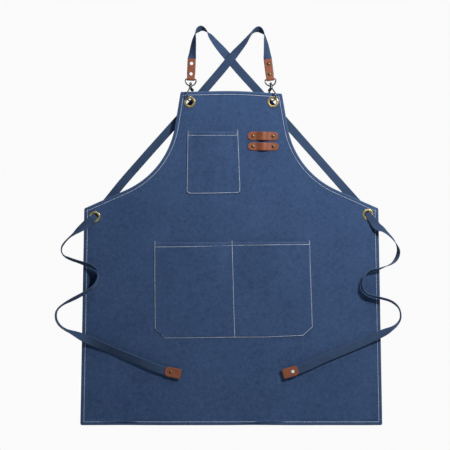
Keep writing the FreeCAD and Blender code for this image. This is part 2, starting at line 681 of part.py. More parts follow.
def make_d_loop():
    """The D: a straight bar for the leather, a half round below it and a boss for the hook's shank."""
    half, corner, bar = cell("d_half_width"), cell("d_corner_radius"), cell("d_bar_rise")
    inner, shoulder = half - corner, bar - corner
    k = corner * math.sqrt(0.5)
    path = [
        Part.LineSegment(V(0, 0, bar), V(inner, 0, bar)),
        Part.Arc(V(inner, 0, bar), V(inner + k, 0, shoulder + k), V(half, 0, shoulder)),
        Part.Arc(V(half, 0, shoulder), V(0, 0, shoulder - half), V(-half, 0, shoulder)),
        Part.Arc(V(-half, 0, shoulder), V(-inner - k, 0, shoulder + k), V(-inner, 0, bar)),
        Part.LineSegment(V(-inner, 0, bar), V(0, 0, bar)),
    ]
    loop = feature(rod(path, cell("wire_radius")))
    base = V(0, 0, cell("boss_base"))
    boss = primitive("Cylinder", base, Radius="sizes.boss_radius", Height="sizes.boss_height")
    boss = rounded(boss, 0.8, lambda edge: edge.BoundBox.ZLength < 0.01)
    bore = primitive(
        "Cylinder", base - V(0, 0, 2),
        Radius="sizes.hook_shank_radius + sizes.swivel_clearance", Height="sizes.boss_height + 4",
    )
    return cut(fused(loop, boss), bore)


PIVOT = V(0, 7.5, 25)
CHEEK_IN, CHEEK_OUT = 1.6, 2.8


def make_snap_hook():
    """Hook, yoke, fork for the trigger, shank and the head that keeps the shank in the D's boss."""
    wire, bend = cell("wire_radius"), cell("hook_radius")
    yoke_foot, yoke_top = 27.3, cell("boss_base") - 0.3
    centre, neck = V(0, 0, bend), V(0, -2.5, 29)
    gap = neck - centre
    swing = math.atan2(gap.z, gap.y) + math.acos(bend / gap.Length)

    def on_bend(angle):
        return centre + V(0, math.cos(angle), math.sin(angle)) * bend

    nose, touch = on_bend(math.radians(-25)), on_bend(swing)
    path = [
        Part.Arc(nose, on_bend(math.radians(-100)), touch),
        Part.LineSegment(touch, neck),
    ]
    pieces = [feature(rod(path, wire)), primitive("Sphere", nose, Radius="sizes.wire_radius")]
    yoke_height = f"{yoke_top - yoke_foot}"
    yoke = primitive("Cylinder", V(0, 0, yoke_foot), Radius="sizes.boss_radius", Height=yoke_height)
    pieces.append(rounded(yoke, 0.8, lambda edge: edge.BoundBox.ZLength < 0.01))
    head_foot = cell("boss_base") + cell("boss_height") + 0.3
    pieces.append(primitive(
        "Cylinder", V(0, 0, yoke_foot),
        Radius="sizes.hook_shank_radius", Height=f"{head_foot + 1 - yoke_foot}",
    ))
    ball = primitive("Sphere", V(0, 0, head_foot + 2.2), Radius="3.2")
    below = primitive("Box", V(-5, -5, head_foot - 5), Length="10", Width="10", Height="5")
    pieces.append(cut(ball, below))
    y, z = PIVOT.y, PIVOT.z
    for inner in (CHEEK_IN, -CHEEK_OUT):
        ear = Part.Face(Part.makePolygon([
            V(inner, 0.5, 27.4), V(inner, y - 0.9, z - 2.2), V(inner, y + 1.2, z - 2.1),
            V(inner, y + 1.3, z + 2), V(inner, 0.5, 31), V(inner, 0.5, 27.4),
        ])).extrude(V(CHEEK_OUT - CHEEK_IN, 0, 0))
        eye = primitive(
            "Cylinder", V(inner, y, z), ALONG_WIDTH, Radius="2.4", Height=f"{CHEEK_OUT - CHEEK_IN}"
        )
        pieces += [feature(ear), eye]
    hole = primitive("Cylinder", V(-5, y, z), ALONG_WIDTH, Radius="sizes.pin_radius", Height="10")
    return cut(fused(*pieces), hole)


def make_trigger():
    """The gate: a tongue on the pin, a lever down to the hook's nose and a ridge for the thumb."""
    y, z = PIVOT.y, PIVOT.z
    tongue = primitive("Cylinder", V(-1, y, z), ALONG_WIDTH, Radius="2.2", Height="1.2")
    neck = Part.Face(Part.makePolygon([
        V(-1, y - 1.2, z), V(-1, y - 0.6, z - 5), V(-1, y + 3.1, z - 5), V(-1, y + 2.1, z), V(-1, y - 1.2, z),
    ])).extrude(V(1.2, 0, 0))
    lever = Part.Face(Part.makePolygon([
        V(-1.6, y - 0.8, z - 3.2), V(-1.6, y + 2.3, z - 15.6), V(-1.6, y + 5, z - 15.6),
        V(-1.6, y + 4.9, z - 9), V(-1.6, y + 2.6, z - 3.2), V(-1.6, y - 0.8, z - 3.2),
    ])).extrude(V(3.2, 0, 0))
    ridge = primitive("Cylinder", V(-2.4, y + 4.9, z - 9), ALONG_WIDTH, Radius="1.5", Height="4.8")
    hole = primitive(
        "Cylinder", V(-5, y, z), ALONG_WIDTH, Radius="sizes.pin_radius + sizes.swivel_clearance", Height="10"
    )
    return cut(fused(tongue, feature(neck), feature(lever), ridge), hole)


def make_trigger_spring():
    """The small coil on the pin that closes the gate, one leg against the yoke."""
    wire, coil = 0.28, 1.2
    turns = [
        primitive("Torus", V(x, PIVOT.y, PIVOT.z), ALONG_WIDTH, Radius1=f"{coil}", Radius2=f"{wire}")
        for x in (0.82, 1.15)
    ]
    out = Rotation(V(1, 0, 0), 45)
    start = PIVOT + V(0.82, 0, 0) + out.multVec(V(0, 0, coil))
    leg = primitive("Cylinder", start, out, Radius=f"{wire}", Height="3.9")
    return fused(*turns, leg)


# ---------------------------------------------------------------- the two chains, straps and ties
# Gap between the D's bar and the leather round it.
BAR_PLAY = 0.3


def placed(obj, frame):
    """Put a piece that was made about the chain's origin where it belongs."""
    obj.Placement = frame.multiply(obj.Placement)
    return obj


def upright(at):
    """A placement that only moves."""
    return Placement(at, Rotation())


def drilled(base, places):
    """The base with a post's hole at each place."""
    for cutter in rivet_holes(places):
        base = cut(base, cutter)
    return base


STACK = WEB + 2 * cell("leather")
OUT_OF_STACK = upright(V(0, 0, STACK / 2))

for name, chain in CHAINS.items():
    frame = chain_frame(**chain)
    swivel = frame.multiply(Placement(V(), Rotation(V(0, 0, 1), chain["side"] * HOOK_TURN)))
    bar = V(0, 0, cell("d_bar_rise"))
    rises = [bar + V(0, 0, cell(rise)) for rise in ("tab_rivet_low", "tab_rivet_high")]
    stands = [frame.multiply(Placement(rise, chain["cap_turn"])).multiply(OUT_OF_STACK) for rise in rises]
    posts = along(frame, *rises)

    fold = cell("wire_radius") + BAR_PLAY
    tab = folded_leather(cell("tab_width"), cell("tab_height"), fold, chain["corner"])
    node(drilled(feature(tab, frame.multiply(upright(bar))), posts), f"strap_tab_{name}")
    node(drilled(feature(make_strap(name, chain, frame)), posts), f"shoulder_strap_{name}")
    node(rivet_caps(stands), f"strap_tab_rivet_caps_{name}")
    node(rivet_posts(stands, STACK), f"strap_tab_rivet_posts_{name}")
    node(placed(make_d_loop(), frame), f"d_loop_{name}")
    node(placed(make_snap_hook(), swivel), f"snap_hook_{name}")
    node(placed(make_trigger(), swivel), f"hook_trigger_{name}")
    pin_at = PIVOT - V(cell("pin_length") / 2, 0, 0)
    pin = primitive("Cylinder", pin_at, ALONG_WIDTH, Radius="sizes.pin_radius", Height="sizes.pin_length")
    node(placed(pin, swivel), f"trigger_pin_{name}")
    node(placed(make_trigger_spring(), swivel), f"trigger_spring_{name}")

    tip = Placement(TIE_TIPS[name]["foot"], Rotation(V(0, 1, 0), TIE_TIPS[name]["lean"]))
    rise = V(0, 0, cell("tip_rivet"))
    posts = along(tip, rise)
    leather = folded_leather(cell("tip_width"), cell("tip_length"), 0, cell("tip_corner_radius"))
    node(drilled(feature(make_tie(name, chain["side"], tip)), posts), f"tie_{name}")
    node(drilled(feature(leather, tip), posts), f"tie_tip_{name}")
    stand = tip.multiply(Placement(rise, chain["cap_turn"].inverted())).multiply(OUT_OF_STACK)
    node(rivet_caps([stand]), f"tie_tip_rivet_cap_{name}")
    node(rivet_posts([stand], STACK), f"tie_tip_rivet_post_{name}")

# ---------------------------------------------------------------- check and write
doc.recompute()
faults = [f"{obj.Label}: {obj.State}" for obj in doc.Objects if {"Invalid", "Error"} & set(obj.State)]
for obj in nodes:
    if obj.Shape.isNull() or not obj.Shape.isValid() or obj.Shape.Volume <= 0:
        faults.append(f"{obj.Label}: bad shape")
if faults:
    raise SystemExit("\n".join(faults))
os.makedirs("parts", exist_ok=True)
for obj in nodes:
    obj.Shape.exportStep(f"parts/{obj.Label}.step")
    print(f"{obj.Label:34s} {len(obj.Shape.Solids)} solid(s), {obj.Shape.Volume / 1000:9.3f} cm3")
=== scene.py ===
"""A cross-back canvas work apron with leather and metal fittings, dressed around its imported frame.

Metres. +X is to the right as seen from the front, the front faces -Y and +Z is up. The origin is the point
that the apron hangs from, level with the insides of its two shoulder loops.
"""
import math

import bpy
import numpy as np
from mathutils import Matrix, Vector


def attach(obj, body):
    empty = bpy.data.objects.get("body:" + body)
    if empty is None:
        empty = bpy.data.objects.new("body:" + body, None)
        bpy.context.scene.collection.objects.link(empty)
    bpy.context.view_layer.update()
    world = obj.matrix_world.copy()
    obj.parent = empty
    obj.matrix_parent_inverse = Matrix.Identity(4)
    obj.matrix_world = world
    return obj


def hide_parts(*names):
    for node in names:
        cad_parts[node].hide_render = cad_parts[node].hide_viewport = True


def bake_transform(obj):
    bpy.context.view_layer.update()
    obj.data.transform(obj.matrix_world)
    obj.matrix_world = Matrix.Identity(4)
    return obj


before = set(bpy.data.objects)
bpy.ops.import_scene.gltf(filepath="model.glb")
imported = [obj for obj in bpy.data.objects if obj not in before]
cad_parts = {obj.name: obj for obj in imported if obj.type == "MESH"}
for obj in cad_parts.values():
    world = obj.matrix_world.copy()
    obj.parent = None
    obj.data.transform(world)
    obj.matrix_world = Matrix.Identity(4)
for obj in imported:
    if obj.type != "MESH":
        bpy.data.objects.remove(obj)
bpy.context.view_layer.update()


# ---------------------------------------------------------------- camera, light and floor
# A long lens stands level with the middle of the apron, so that it is seen flat on. A small bright lamp is
# on the right in front, a soft one overhead, a faint one on the left, and one behind. The room is white to
# the camera and dim to the cloth, and the floor is pale and well below the hem.
lens, film, seen_width, aim = 120, 36, 1.0125, Vector((-0.0142, 0, -0.4442))
camera = bpy.data.objects.new("camera", bpy.data.cameras.new("camera"))
bpy.context.scene.collection.objects.link(camera)
camera.data.lens, camera.data.sensor_width = lens, film
camera.location = aim - Vector((0, seen_width * lens / film, 0))
camera.rotation_euler = (math.pi / 2, 0, 0)
camera.data.clip_start, camera.data.clip_end = 0.1, 50
bpy.context.scene.camera = camera
bpy.context.scene.view_settings.view_transform = "Standard"


def lamp(name, at, target, size, watts, colour):
    """A square area light at a point, facing a target."""
    light = bpy.data.objects.new(name, bpy.data.lights.new(name, "AREA"))
    light.data.shape, light.data.size = "SQUARE", size
    light.data.energy, light.data.color = watts, colour
    light.location = at
    light.rotation_euler = (Vector(target) - Vector(at)).to_track_quat("-Z", "Y").to_euler()
    bpy.context.scene.collection.objects.link(light)


lamp("key", (0.75, -1.15, 0.22), (0.05, 0, -0.40), 0.16, 24.5, (1.0, 0.96, 0.91))
lamp("overhead", (0.1, -0.45, 0.75), (0, 0, -0.40), 0.5, 7, (0.92, 0.96, 1.0))
lamp("fill", (-1.6, -2.2, 0.1), (0, 0, -0.5), 1.6, 0.6, (0.85, 0.93, 1.0))
lamp("back", (-0.6, 2.2, 0.9), (0, 0, -0.45), 1.4, 3, (1.0, 1.0, 1.0))


def shader_node(tree, kind, inputs=(), **options):
    """A shader node with its options. An input is set to a value, or linked if it is given an output."""
    made = tree.nodes.new("ShaderNode" + kind)
    for name, value in options.items():
        setattr(made, name, value)
    for socket, value in dict(inputs).items():
        if isinstance(value, bpy.types.NodeSocket):
            tree.links.new(value, made.inputs[socket])
        else:
            made.inputs[socket].default_value = value
    return made


def reckon(tree, operation, a, b=0.0, c=0.0):
    """One step of arithmetic on two or three numbers."""
    return shader_node(tree, "Math", {0: a, 1: b, 2: c}, operation=operation).outputs[0]


room = bpy.data.worlds.new("white_room")
room.use_nodes = True
room.node_tree.nodes.clear()
ray = shader_node(room.node_tree, "LightPath")
shine = reckon(room.node_tree, "MULTIPLY_ADD", ray.outputs["Is Glossy Ray"], 0.50, 0.045)
glow = shader_node(room.node_tree, "Background", {"Color": (0.70, 0.86, 1, 1), "Strength": shine})
plain = shader_node(room.node_tree, "Background", {"Color": (1, 1, 1, 1), "Strength": 0.96})
either = shader_node(
    room.node_tree, "MixShader", {0: ray.outputs["Is Camera Ray"], 1: glow.outputs[0], 2: plain.outputs[0]}
)
shader_node(room.node_tree, "OutputWorld", {"Surface": either.outputs[0]})
bpy.context.scene.world = room


def grid_faces(rows, columns, round_rows=False, round_columns=False):
    """The quads of a grid of points, closed into a ring along either direction if asked."""
    r = np.arange(rows if round_rows else rows - 1)[:, None]
    c = np.arange(columns if round_columns else columns - 1)[None, :]
    r_next, c_next = (r + 1) % rows, (c + 1) % columns
    corners = (r * columns + c, r * columns + c_next, r_next * columns + c_next, r_next * columns + c)
    return np.stack(corners, -1).reshape(-1, 4)


def new_piece(name, points, faces, material, uv=None, marks=None, body="root"):
    """A smooth mesh from arrays of points and quads, turned so that its faces point outwards.

    Which way it faces is the sign of its volume, a sixth of the sum of a . (b x c) over its triangles.
    uv gives each point's place on the cloth in metres, and marks are named numbers, one to a point.
    """
    a, b, c, d = (points[faces[:, k]] for k in range(4))
    volume = np.sum(a * np.cross(b, c)) + np.sum(a * np.cross(c, d))
    if volume < 0:
        faces = faces[:, ::-1]
    mesh = bpy.data.meshes.new(name)
    mesh.vertices.add(len(points))
    mesh.vertices.foreach_set("co", points.astype(np.float32).ravel())
    mesh.loops.add(faces.size)
    mesh.loops.foreach_set("vertex_index", faces.astype(np.int32).ravel())
    mesh.polygons.add(len(faces))
    mesh.polygons.foreach_set("loop_start", np.arange(0, faces.size, 4, dtype=np.int32))
    mesh.polygons.foreach_set("use_smooth", np.ones(len(faces), bool))
    mesh.update(calc_edges=True)
    if uv is not None:
        layer = mesh.uv_layers.new(name="cloth")
        layer.data.foreach_set("uv", uv[faces.ravel()].astype(np.float32).ravel())
    for mark, values in (marks or {}).items():
        mesh.attributes.new(mark, "FLOAT", "POINT").data.foreach_set("value", values.astype(np.float32))
    mesh.validate()
    mesh.materials.append(material)
    made = bpy.data.objects.new(name, mesh)
    bpy.context.scene.collection.objects.link(made)
    if body:
        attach(made, body)
    return made


def principled(name, **inputs):
    """A new material of one Principled shader: its node tree and the shader."""
    material = bpy.data.materials.new(name)
    material.use_nodes = True
    material.node_tree.nodes.clear()
    settings = {name.replace("_", " "): value for name, value in inputs.items()}
    shader = shader_node(material.node_tree, "BsdfPrincipled", settings)
    shader_node(material.node_tree, "OutputMaterial", {"Surface": shader.outputs[0]})
    return material, material.node_tree, shader


def noise(tree, where, scale, detail=2.0, roughness=0.5, stretch=None):
    """Noise at a number of waves to the metre, drawn out along the ways that have a small stretch."""
    if stretch:
        where = shader_node(tree, "Mapping", {"Vector": where, "Scale": stretch}).outputs[0]
    inputs = {"Vector": where, "Scale": scale, "Detail": detail, "Roughness": roughness}
    return shader_node(tree, "TexNoise", inputs).outputs[0]


def ramp(tree, amount, *stops):
    """Colours along an amount, as stops of place and colour."""
    made = shader_node(tree, "ValToRGB", {"Fac": amount})
    while len(made.color_ramp.elements) < len(stops):
        made.color_ramp.elements.new(0.5)
    for element, (place, colour) in zip(made.color_ramp.elements, stops):
        element.position, element.color = place, (*colour, 1)
    return made.outputs[0]


def mixed(tree, amount, a, b):
    """Two colours mixed by an amount."""
    return shader_node(tree, "Mix", {0: amount, 6: a, 7: b}, data_type="RGBA").outputs[2]


floor_reach, floor_height, floor_sides = 1.5, -1.2, 96
turns = np.linspace(0, 2 * math.pi, floor_sides + 1)[:-1]
rings = np.array([0.02, 0.5, 1.0])[:, None] * floor_reach
floor_level = np.full((len(rings), floor_sides), floor_height)
disc = np.stack([rings * np.cos(turns), rings * np.sin(turns), floor_level], -1)
floor_finish, tree, shader = principled("pale_floor", Roughness=0.85)
grain = noise(tree, shader_node(tree, "TexCoord").outputs["Object"], 6, 3)
pale = ramp(tree, grain, (0.3, (0.80, 0.80, 0.80)), (0.7, (0.84, 0.84, 0.84)))
tree.links.new(pale, shader.inputs["Base Color"])
floor_faces = grid_faces(len(rings), floor_sides, round_columns=True)
floor = new_piece("floor", disc.reshape(-1, 3), floor_faces, floor_finish, body=None)


# ---------------------------------------------------------------- the canvas panel
# One width of blue cotton canvas, washed so that it is mottled. Its edge is turned under twice all round
# and sewn down, which leaves a rounded rim, a little drawn up along the seam. It hangs almost flat.
panel_corners = np.array([
    # across, height, radius of the corner
    (-0.1140, -0.1446, 0.003), (0.010, -0.1420, 0.9), (0.1140, -0.1486, 0.003), (0.144, -0.324, 0.190),
    (0.331, -0.407, 0.0035), (0.340, -0.895, 0.0035), (-0.340, -0.895, 0.0035), (-0.331, -0.407, 0.0035),
    (-0.144, -0.324, 0.190),
])
cloth_half, hem_half, full_turn = 0.0006, 0.0013, 6.283
waist_eyelets = {"left": Vector((-0.307, 0, -0.4255)), "right": Vector((0.307, 0, -0.4205))}
eyelet_places = [Vector((-0.0935, 0, -0.1675)), Vector((0.0935, 0, -0.1675)), *waist_eyelets.values()]
held_places = np.array([(p.x, p.z) for p in eyelet_places] + [
    (-0.095, -0.240), (0.011, -0.240), (-0.168, -0.488), (0.172, -0.488),
    (0.0485, -0.2443), (0.094, -0.2443), (0.049, -0.2675), (0.0945, -0.2675),
])


def rounded_outline(corners, inset=0.0, spacing=0.002):
    """A closed polygon with rounded corners, drawn in by an inset: its points, and each one's corner.

    Each side's line is moved inwards and cut with its neighbours'. A corner's arc touches both its sides at
    radius / tan(half the angle) from where they meet. The points of two insets pair up one to one.
    """
    count = len(corners)
    places, radii = corners[:, :2], corners[:, 2]
    after = np.roll(places, -1, 0)
    way = (after - places) / np.linalg.norm(after - places, axis=1)[:, None]
    area = np.sum(places[:, 0] * after[:, 1] - after[:, 0] * places[:, 1])
    inward = np.stack([-way[:, 1], way[:, 0]], 1) * np.sign(area)
    before_in, before_way = np.roll(inward, 1, 0), np.roll(way, 1, 0)
    cosine = np.sum(before_in * inward, 1)
    drawn = places + inset * (before_in + inward) / (1 + cosine)[:, None]
    bulging = (before_way[:, 0] * way[:, 1] - before_way[:, 1] * way[:, 0]) * np.sign(area) > 0
    drawn_radii = np.maximum(radii + np.where(bulging, -inset, inset), 0.0002)
    turn = np.arccos(np.clip(cosine, -1, 1))
    reach, full_reach = drawn_radii * np.tan(turn / 2), radii * np.tan(turn / 2)
    points, owners = [], []
    for k in range(count):
        n_arc = max(3, int(radii[k] * turn[k] / spacing) + 1)
        swing = np.linspace(0, 1, n_arc)[:, None] * turn[k]
        start = drawn[k] - before_way[k] * reach[k]
        sign = 1 if bulging[k] else -1
        centre = start + before_in[k] * drawn_radii[k] * sign
        spoke = before_in[k] * np.cos(swing) - before_way[k] * np.sin(swing) * sign
        arc = centre - drawn_radii[k] * sign * spoke
        nxt = (k + 1) % count
        run = np.linalg.norm(places[nxt] - places[k]) - full_reach[k] - full_reach[nxt]
        n_run = max(2, int(run / spacing))
        end = drawn[nxt] - way[k] * reach[nxt]
        share = np.linspace(0, 1, n_run + 1)[1:-1, None]
        points += [arc, arc[-1] + (end - arc[-1]) * share]
        owners += [np.full(n_arc, k), np.full(len(share), k)]
    return np.concatenate(points), np.concatenate(owners)


def hang(x, z):
    """How far the canvas stands back from flat: long shallow waves that deepen towards the hem.

    The waves are three crossed sines, with finer ones on them. They fade out around the eyelets, rivets and
    tool loops, by 1 - exp(-(distance / 28 mm)^2).
    """
    deep = np.clip((-z - 0.30) / 0.55, 0, 1) ** 1.3
    wave = (
        0.5 * np.sin(full_turn * (x / 0.34 + 0.22 * np.sin(3.1 * z) + 0.15))
        + 0.3 * np.sin(full_turn * (x / 0.155 - z / 0.62 + 0.4))
        + 0.2 * np.sin(full_turn * (x / 0.23 + z / 0.31))
    )
    small = (
        0.5 * np.sin(full_turn * (x / 0.071 + z / 0.12)) + 0.5 * np.sin(full_turn * (x / 0.094 - z / 0.083))
    )
    moved = deep * 0.0026 * (1 + wave) + (0.4 + deep) * 0.00022 * (1 + small)
    moved += 0.0006 * (1 - deep) * (1 + np.sin(full_turn * (x / 0.21 - z / 0.17)))
    near = np.ones_like(moved)
    for px, pz in held_places:
        near = near * (1 - np.exp(-((x - px) ** 2 + (z - pz) ** 2) / 0.028**2))
    return moved * near


def close_layers(front, back, kept):
    """Two grids of points as one closed cloth: the kept quads of both, joined along every open edge."""
    rows, columns = front.shape[:2]
    faces = grid_faces(rows, columns)[kept.ravel()]
    count = rows * columns
    starts, ends = faces.ravel(), np.roll(faces, -1, 1).ravel()
    open_edge = ~np.isin(starts * count + ends, ends * count + starts)
    a, b = starts[open_edge], ends[open_edge]
    rim = np.stack([b, a, a + count, b + count], 1)
    every = np.concatenate([faces, faces[:, ::-1] + count, rim])
    points = np.concatenate([front.reshape(-1, 3), back.reshape(-1, 3)])
    used, renumbered = np.unique(every, return_inverse=True)
    return points[used], renumbered.reshape(-1, 4), used


def crowded(count, edge, steps):
    """Shares from 0 to 1, evenly spaced but with a few more steps crowded against both ends."""
    near = edge * np.linspace(0, 1, steps) ** 1.6
    return np.concatenate([near[:-1], np.linspace(edge, 1 - edge, count), (1 - near[::-1])[1:]])


# Blue canvas: two blues mixed by cloudy fading, uneven threads both ways and a fine speckle, with the
# weave itself as a shallow relief. Along the hems the dye has rubbed off a little.
canvas, tree, shader = principled(
    "washed_blue_canvas", Roughness=0.88, Sheen_Weight=0.08, Sheen_Roughness=0.5,
    Sheen_Tint=(0.45, 0.60, 0.90, 1), Specular_IOR_Level=0.12,
)


def weave_canvas(tree, shader, dark, light, thread_pitch=0.0009):
    """The canvas look on Object coordinates: fading, slubs, speckle and the plain weave's relief."""
    where = shader_node(tree, "TexCoord").outputs["Object"]
    fading = noise(tree, where, 11, 4, 0.6)
    blotch = noise(tree, where, 95, 3, 0.6)
    weft = noise(tree, where, 1.0, 2, 0.5, (130, 130, 1100))
    warp = noise(tree, where, 1.0, 2, 0.5, (1100, 130, 130))
    speckle = noise(tree, where, 640, 2, 0.6)
    amount = reckon(tree, "MULTIPLY_ADD", fading, 0.26, -0.13)
    amount = reckon(tree, "MULTIPLY_ADD", blotch, 0.40, amount)
    for part, share in ((weft, 0.42), (warp, 0.42), (speckle, 0.50)):
        amount = reckon(tree, "MULTIPLY_ADD", part, share, amount)
    amount = reckon(tree, "ADD", amount, -0.37)
    colour = ramp(tree, amount, (0.20, dark), (0.80, light))
    worn = shader_node(tree, "Attribute", attribute_name="rub").outputs["Fac"]
    rubbed = reckon(tree, "MULTIPLY", worn, reckon(tree, "MULTIPLY_ADD", speckle, 1.6, -0.35))
    colour = mixed(tree, reckon(tree, "MULTIPLY", rubbed, 0.35), colour, (0.22, 0.31, 0.46, 1))
    tree.links.new(colour, shader.inputs["Base Color"])
    split = shader_node(tree, "SeparateXYZ", {0: where}).outputs
    step = 2 * math.pi / thread_pitch
    over = reckon(tree, "MULTIPLY", reckon(tree, "SINE", reckon(tree, "MULTIPLY", split[0], step)),
                  reckon(tree, "SINE", reckon(tree, "MULTIPLY", split[2], step)))
    height = reckon(tree, "MULTIPLY_ADD", over, 0.25, reckon(tree, "ADD", weft, warp))
    relief = shader_node(tree, "Bump", {"Strength": 0.55, "Distance": 0.0006, "Height": height})
    tree.links.new(relief.outputs[0], shader.inputs["Normal"])


weave_canvas(tree, shader, (0.0155, 0.036, 0.092), (0.055, 0.103, 0.224))

edge_points, _ = rounded_outline(panel_corners, 0.0035)
right_side = edge_points[edge_points[:, 0] > 0.012]
right_side = right_side[np.argsort(-right_side[:, 1])]
heights = np.concatenate([
    np.linspace(-0.1505, -0.320, 52), np.linspace(-0.320, -0.405, 46)[1:],
    np.linspace(-0.405, -0.8915, 88)[1:],
])
columns = np.linspace(-1, 1, 131)
half_width = np.interp(-heights, -right_side[:, 1], right_side[:, 0])
body_x = half_width[:, None] * columns
body_z = np.repeat(heights[:, None], len(columns), 1)
eyelet_hole = 0.0096
for place in eyelet_places:
    away_x, away_z = body_x - place.x, body_z - place.z
    away = np.hypot(away_x, away_z) + 1e-9
    pushed = np.maximum(away, eyelet_hole) / away
    body_x, body_z = place.x + away_x * pushed, place.z + away_z * pushed
inside = np.zeros(body_x.shape, bool)
for place in eyelet_places:
    inside |= np.hypot(body_x - place.x, body_z - place.z) < 0.00961
whole = ~(inside[:-1, :-1] & inside[1:, :-1] & inside[:-1, 1:] & inside[1:, 1:])
body_y = hang(body_x, body_z)
body_front = np.stack([body_x, body_y - cloth_half, body_z], -1)
body_back = np.stack([body_x, body_y + cloth_half, body_z], -1)
body_points, body_faces, _ = close_layers(body_front, body_back, whole)

# The rim's section goes from under the front face, over the rim and back in behind: how far in from the
# edge, and how far it stands from the middle as a share of the hem's half thickness.
hem_section = np.array([
    (0.0108, -0.38), (0.0098, -0.52), (0.0090, -0.66), (0.0082, -0.80), (0.0076, -0.74), (0.0070, -0.86),
    (0.0058, -1.02), (0.0042, -1.08), (0.0026, -1.04), (0.0013, -0.88), (0.0004, -0.55), (0.0, 0.0),
    (0.0004, 0.55), (0.0013, 0.88), (0.0030, 1.05), (0.0055, 1.05), (0.0080, 1.0), (0.0091, 0.92),
    (0.0096, 0.62), (0.0100, 0.30),
])
around = np.stack([rounded_outline(panel_corners, inset)[0] for inset in hem_section[:, 0]], 1)
along_hem = np.concatenate([[0], np.cumsum(np.linalg.norm(np.diff(around[:, 11], axis=0), axis=1))])
puckers = 0.10 * np.sin(full_turn * along_hem / 0.0073 + 1.5 * np.sin(along_hem * 31))
drawn_up = 1 + puckers + 0.05 * np.sin(along_hem * 210)
proud = hem_half * hem_section[None, :, 1] * drawn_up[:, None]
hem_points = np.stack([around[..., 0], hang(around[..., 0], around[..., 1]) + proud, around[..., 1]], -1)
hem_faces = grid_faces(*around.shape[:2], round_rows=True, round_columns=True)
panel_points = np.concatenate([body_points, hem_points.reshape(-1, 3)])
panel_faces = np.concatenate([body_faces, hem_faces + len(body_points)])
rim_rub = np.tile(np.clip(1 - hem_section[:, 0] / 0.003, 0, 1), len(around))
rub = np.concatenate([np.zeros(len(body_points)), rim_rub])
panel = new_piece("canvas_panel", panel_points, panel_faces, canvas, marks={"rub": rub})
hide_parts("apron_panel")


# ---------------------------------------------------------------- topstitching of the hem
# Pale grey-blue thread, one row of stitches about three millimetres long along each hem, seen on both
# faces. The rows of the flanks and armholes cross at the waist corners.
thread, tree, shader = principled("pale_thread", Roughness=0.6, Sheen_Weight=0.3)
where = shader_node(tree, "TexCoord").outputs["Object"]
tree.links.new(
    ramp(tree, noise(tree, where, 160, 2), (0.3, (0.42, 0.50, 0.62)), (0.7, (0.72, 0.79, 0.88))),
    shader.inputs["Base Color"],
)
ply = noise(tree, where, 1500, 1)
relief = shader_node(tree, "Bump", {"Strength": 0.4, "Distance": 0.0002, "Height": ply})
tree.links.new(relief.outputs[0], shader.inputs["Normal"])


def stitches(runs, surface, pitch=0.0032, thick=0.00050, facing=-1):
    """Stitches along runs of (x, z) points, as points and quads. surface gives the cloth's depth.

    A stitch is a small arched bar: along it, s from -1 to 1, its radius is thick * sqrt(1 - s^4) and it
    stands 0.45 thick * (1 - s^2) out of the cloth. Its own quads are copied to every place.
    """
    starts, ends = [], []
    for run in runs:
        length = np.concatenate([[0], np.cumsum(np.linalg.norm(np.diff(run, axis=0), axis=1))])
        count = max(1, int(round(length[-1] / pitch)))
        marks = (np.arange(count)[:, None] + np.array([0.05, 0.90])) * length[-1] / count
        at = np.stack([np.interp(marks, length, run[:, k]) for k in range(2)], -1)
        starts.append(at[:, 0])
        ends.append(at[:, 1])
    start, end = np.concatenate(starts), np.concatenate(ends)
    middle, half = (start + end) / 2, (end - start) / 2
    side = np.stack([-half[:, 1], half[:, 0]], 1) / np.linalg.norm(half, axis=1)[:, None]
    s = np.array([-1, -0.72, 0, 0.72, 1])[:, None]
    turn = np.arange(6) * math.pi / 3
    radius = thick * np.sqrt(np.clip(1 - s**4, 0.02, 1))
    across, out = radius * np.cos(turn), radius * np.sin(turn) + 0.45 * thick * (1 - s**2)
    flat = middle[:, None, None] + half[:, None, None] * s[None, ..., None]
    flat = flat + side[:, None, None] * across[None, ..., None]
    depth = surface(flat[..., 0], flat[..., 1]) + facing * out
    points = np.stack([flat[..., 0], depth, flat[..., 1]], -1).reshape(-1, 3)
    lids = [[0, 1, 2, 5], [2, 3, 4, 5], [24, 29, 26, 25], [26, 29, 28, 27]]
    one = np.concatenate([grid_faces(len(s), len(turn), round_columns=True), lids])
    every = one[None] + len(s) * len(turn) * np.arange(len(middle))[:, None, None]
    return points, every.reshape(-1, 4)


def hem_runs(inset, cross):
    """The rows sewn along the hems: bib top, both armholes, both flanks and the bottom."""
    points, owners = rounded_outline(panel_corners, inset)

    def between(first, last, before=0.0, after=0.0):
        """From the middle of one corner to the middle of another, lengthened at either end."""
        begin = np.median(np.flatnonzero(owners == first)[:3]).astype(int)
        finish = np.median(np.flatnonzero(owners == last)[:3]).astype(int)
        if finish > begin:
            run = points[begin:finish + 1]
        else:
            run = np.concatenate([points[begin:], points[:finish + 1]])
        lead = (run[0] - run[3]) / np.linalg.norm(run[0] - run[3])
        tail = (run[-1] - run[-4]) / np.linalg.norm(run[-1] - run[-4])
        return np.concatenate([[run[0] + lead * before], run[1:-1], [run[-1] + tail * after]])

    return [
        between(0, 2), between(2, 4, 0, cross), between(4, 5, cross * 0.8, 0), between(5, 6),
        between(6, 7, 0, cross * 0.8), between(7, 0, cross, 0),
    ]


rows_front = stitches(hem_runs(0.0077, 0.0055), lambda x, z: hang(x, z) - 0.00092)
rows_back = stitches(hem_runs(0.0077, 0.0055), lambda x, z: hang(x, z) + 0.00125, facing=1)
stitch_points = np.concatenate([rows_front[0], rows_back[0]])
stitch_faces = np.concatenate([rows_front[1], rows_back[1] + len(rows_front[0])])
hem_stitching = new_piece("hem_stitching", stitch_points, stitch_faces, thread)


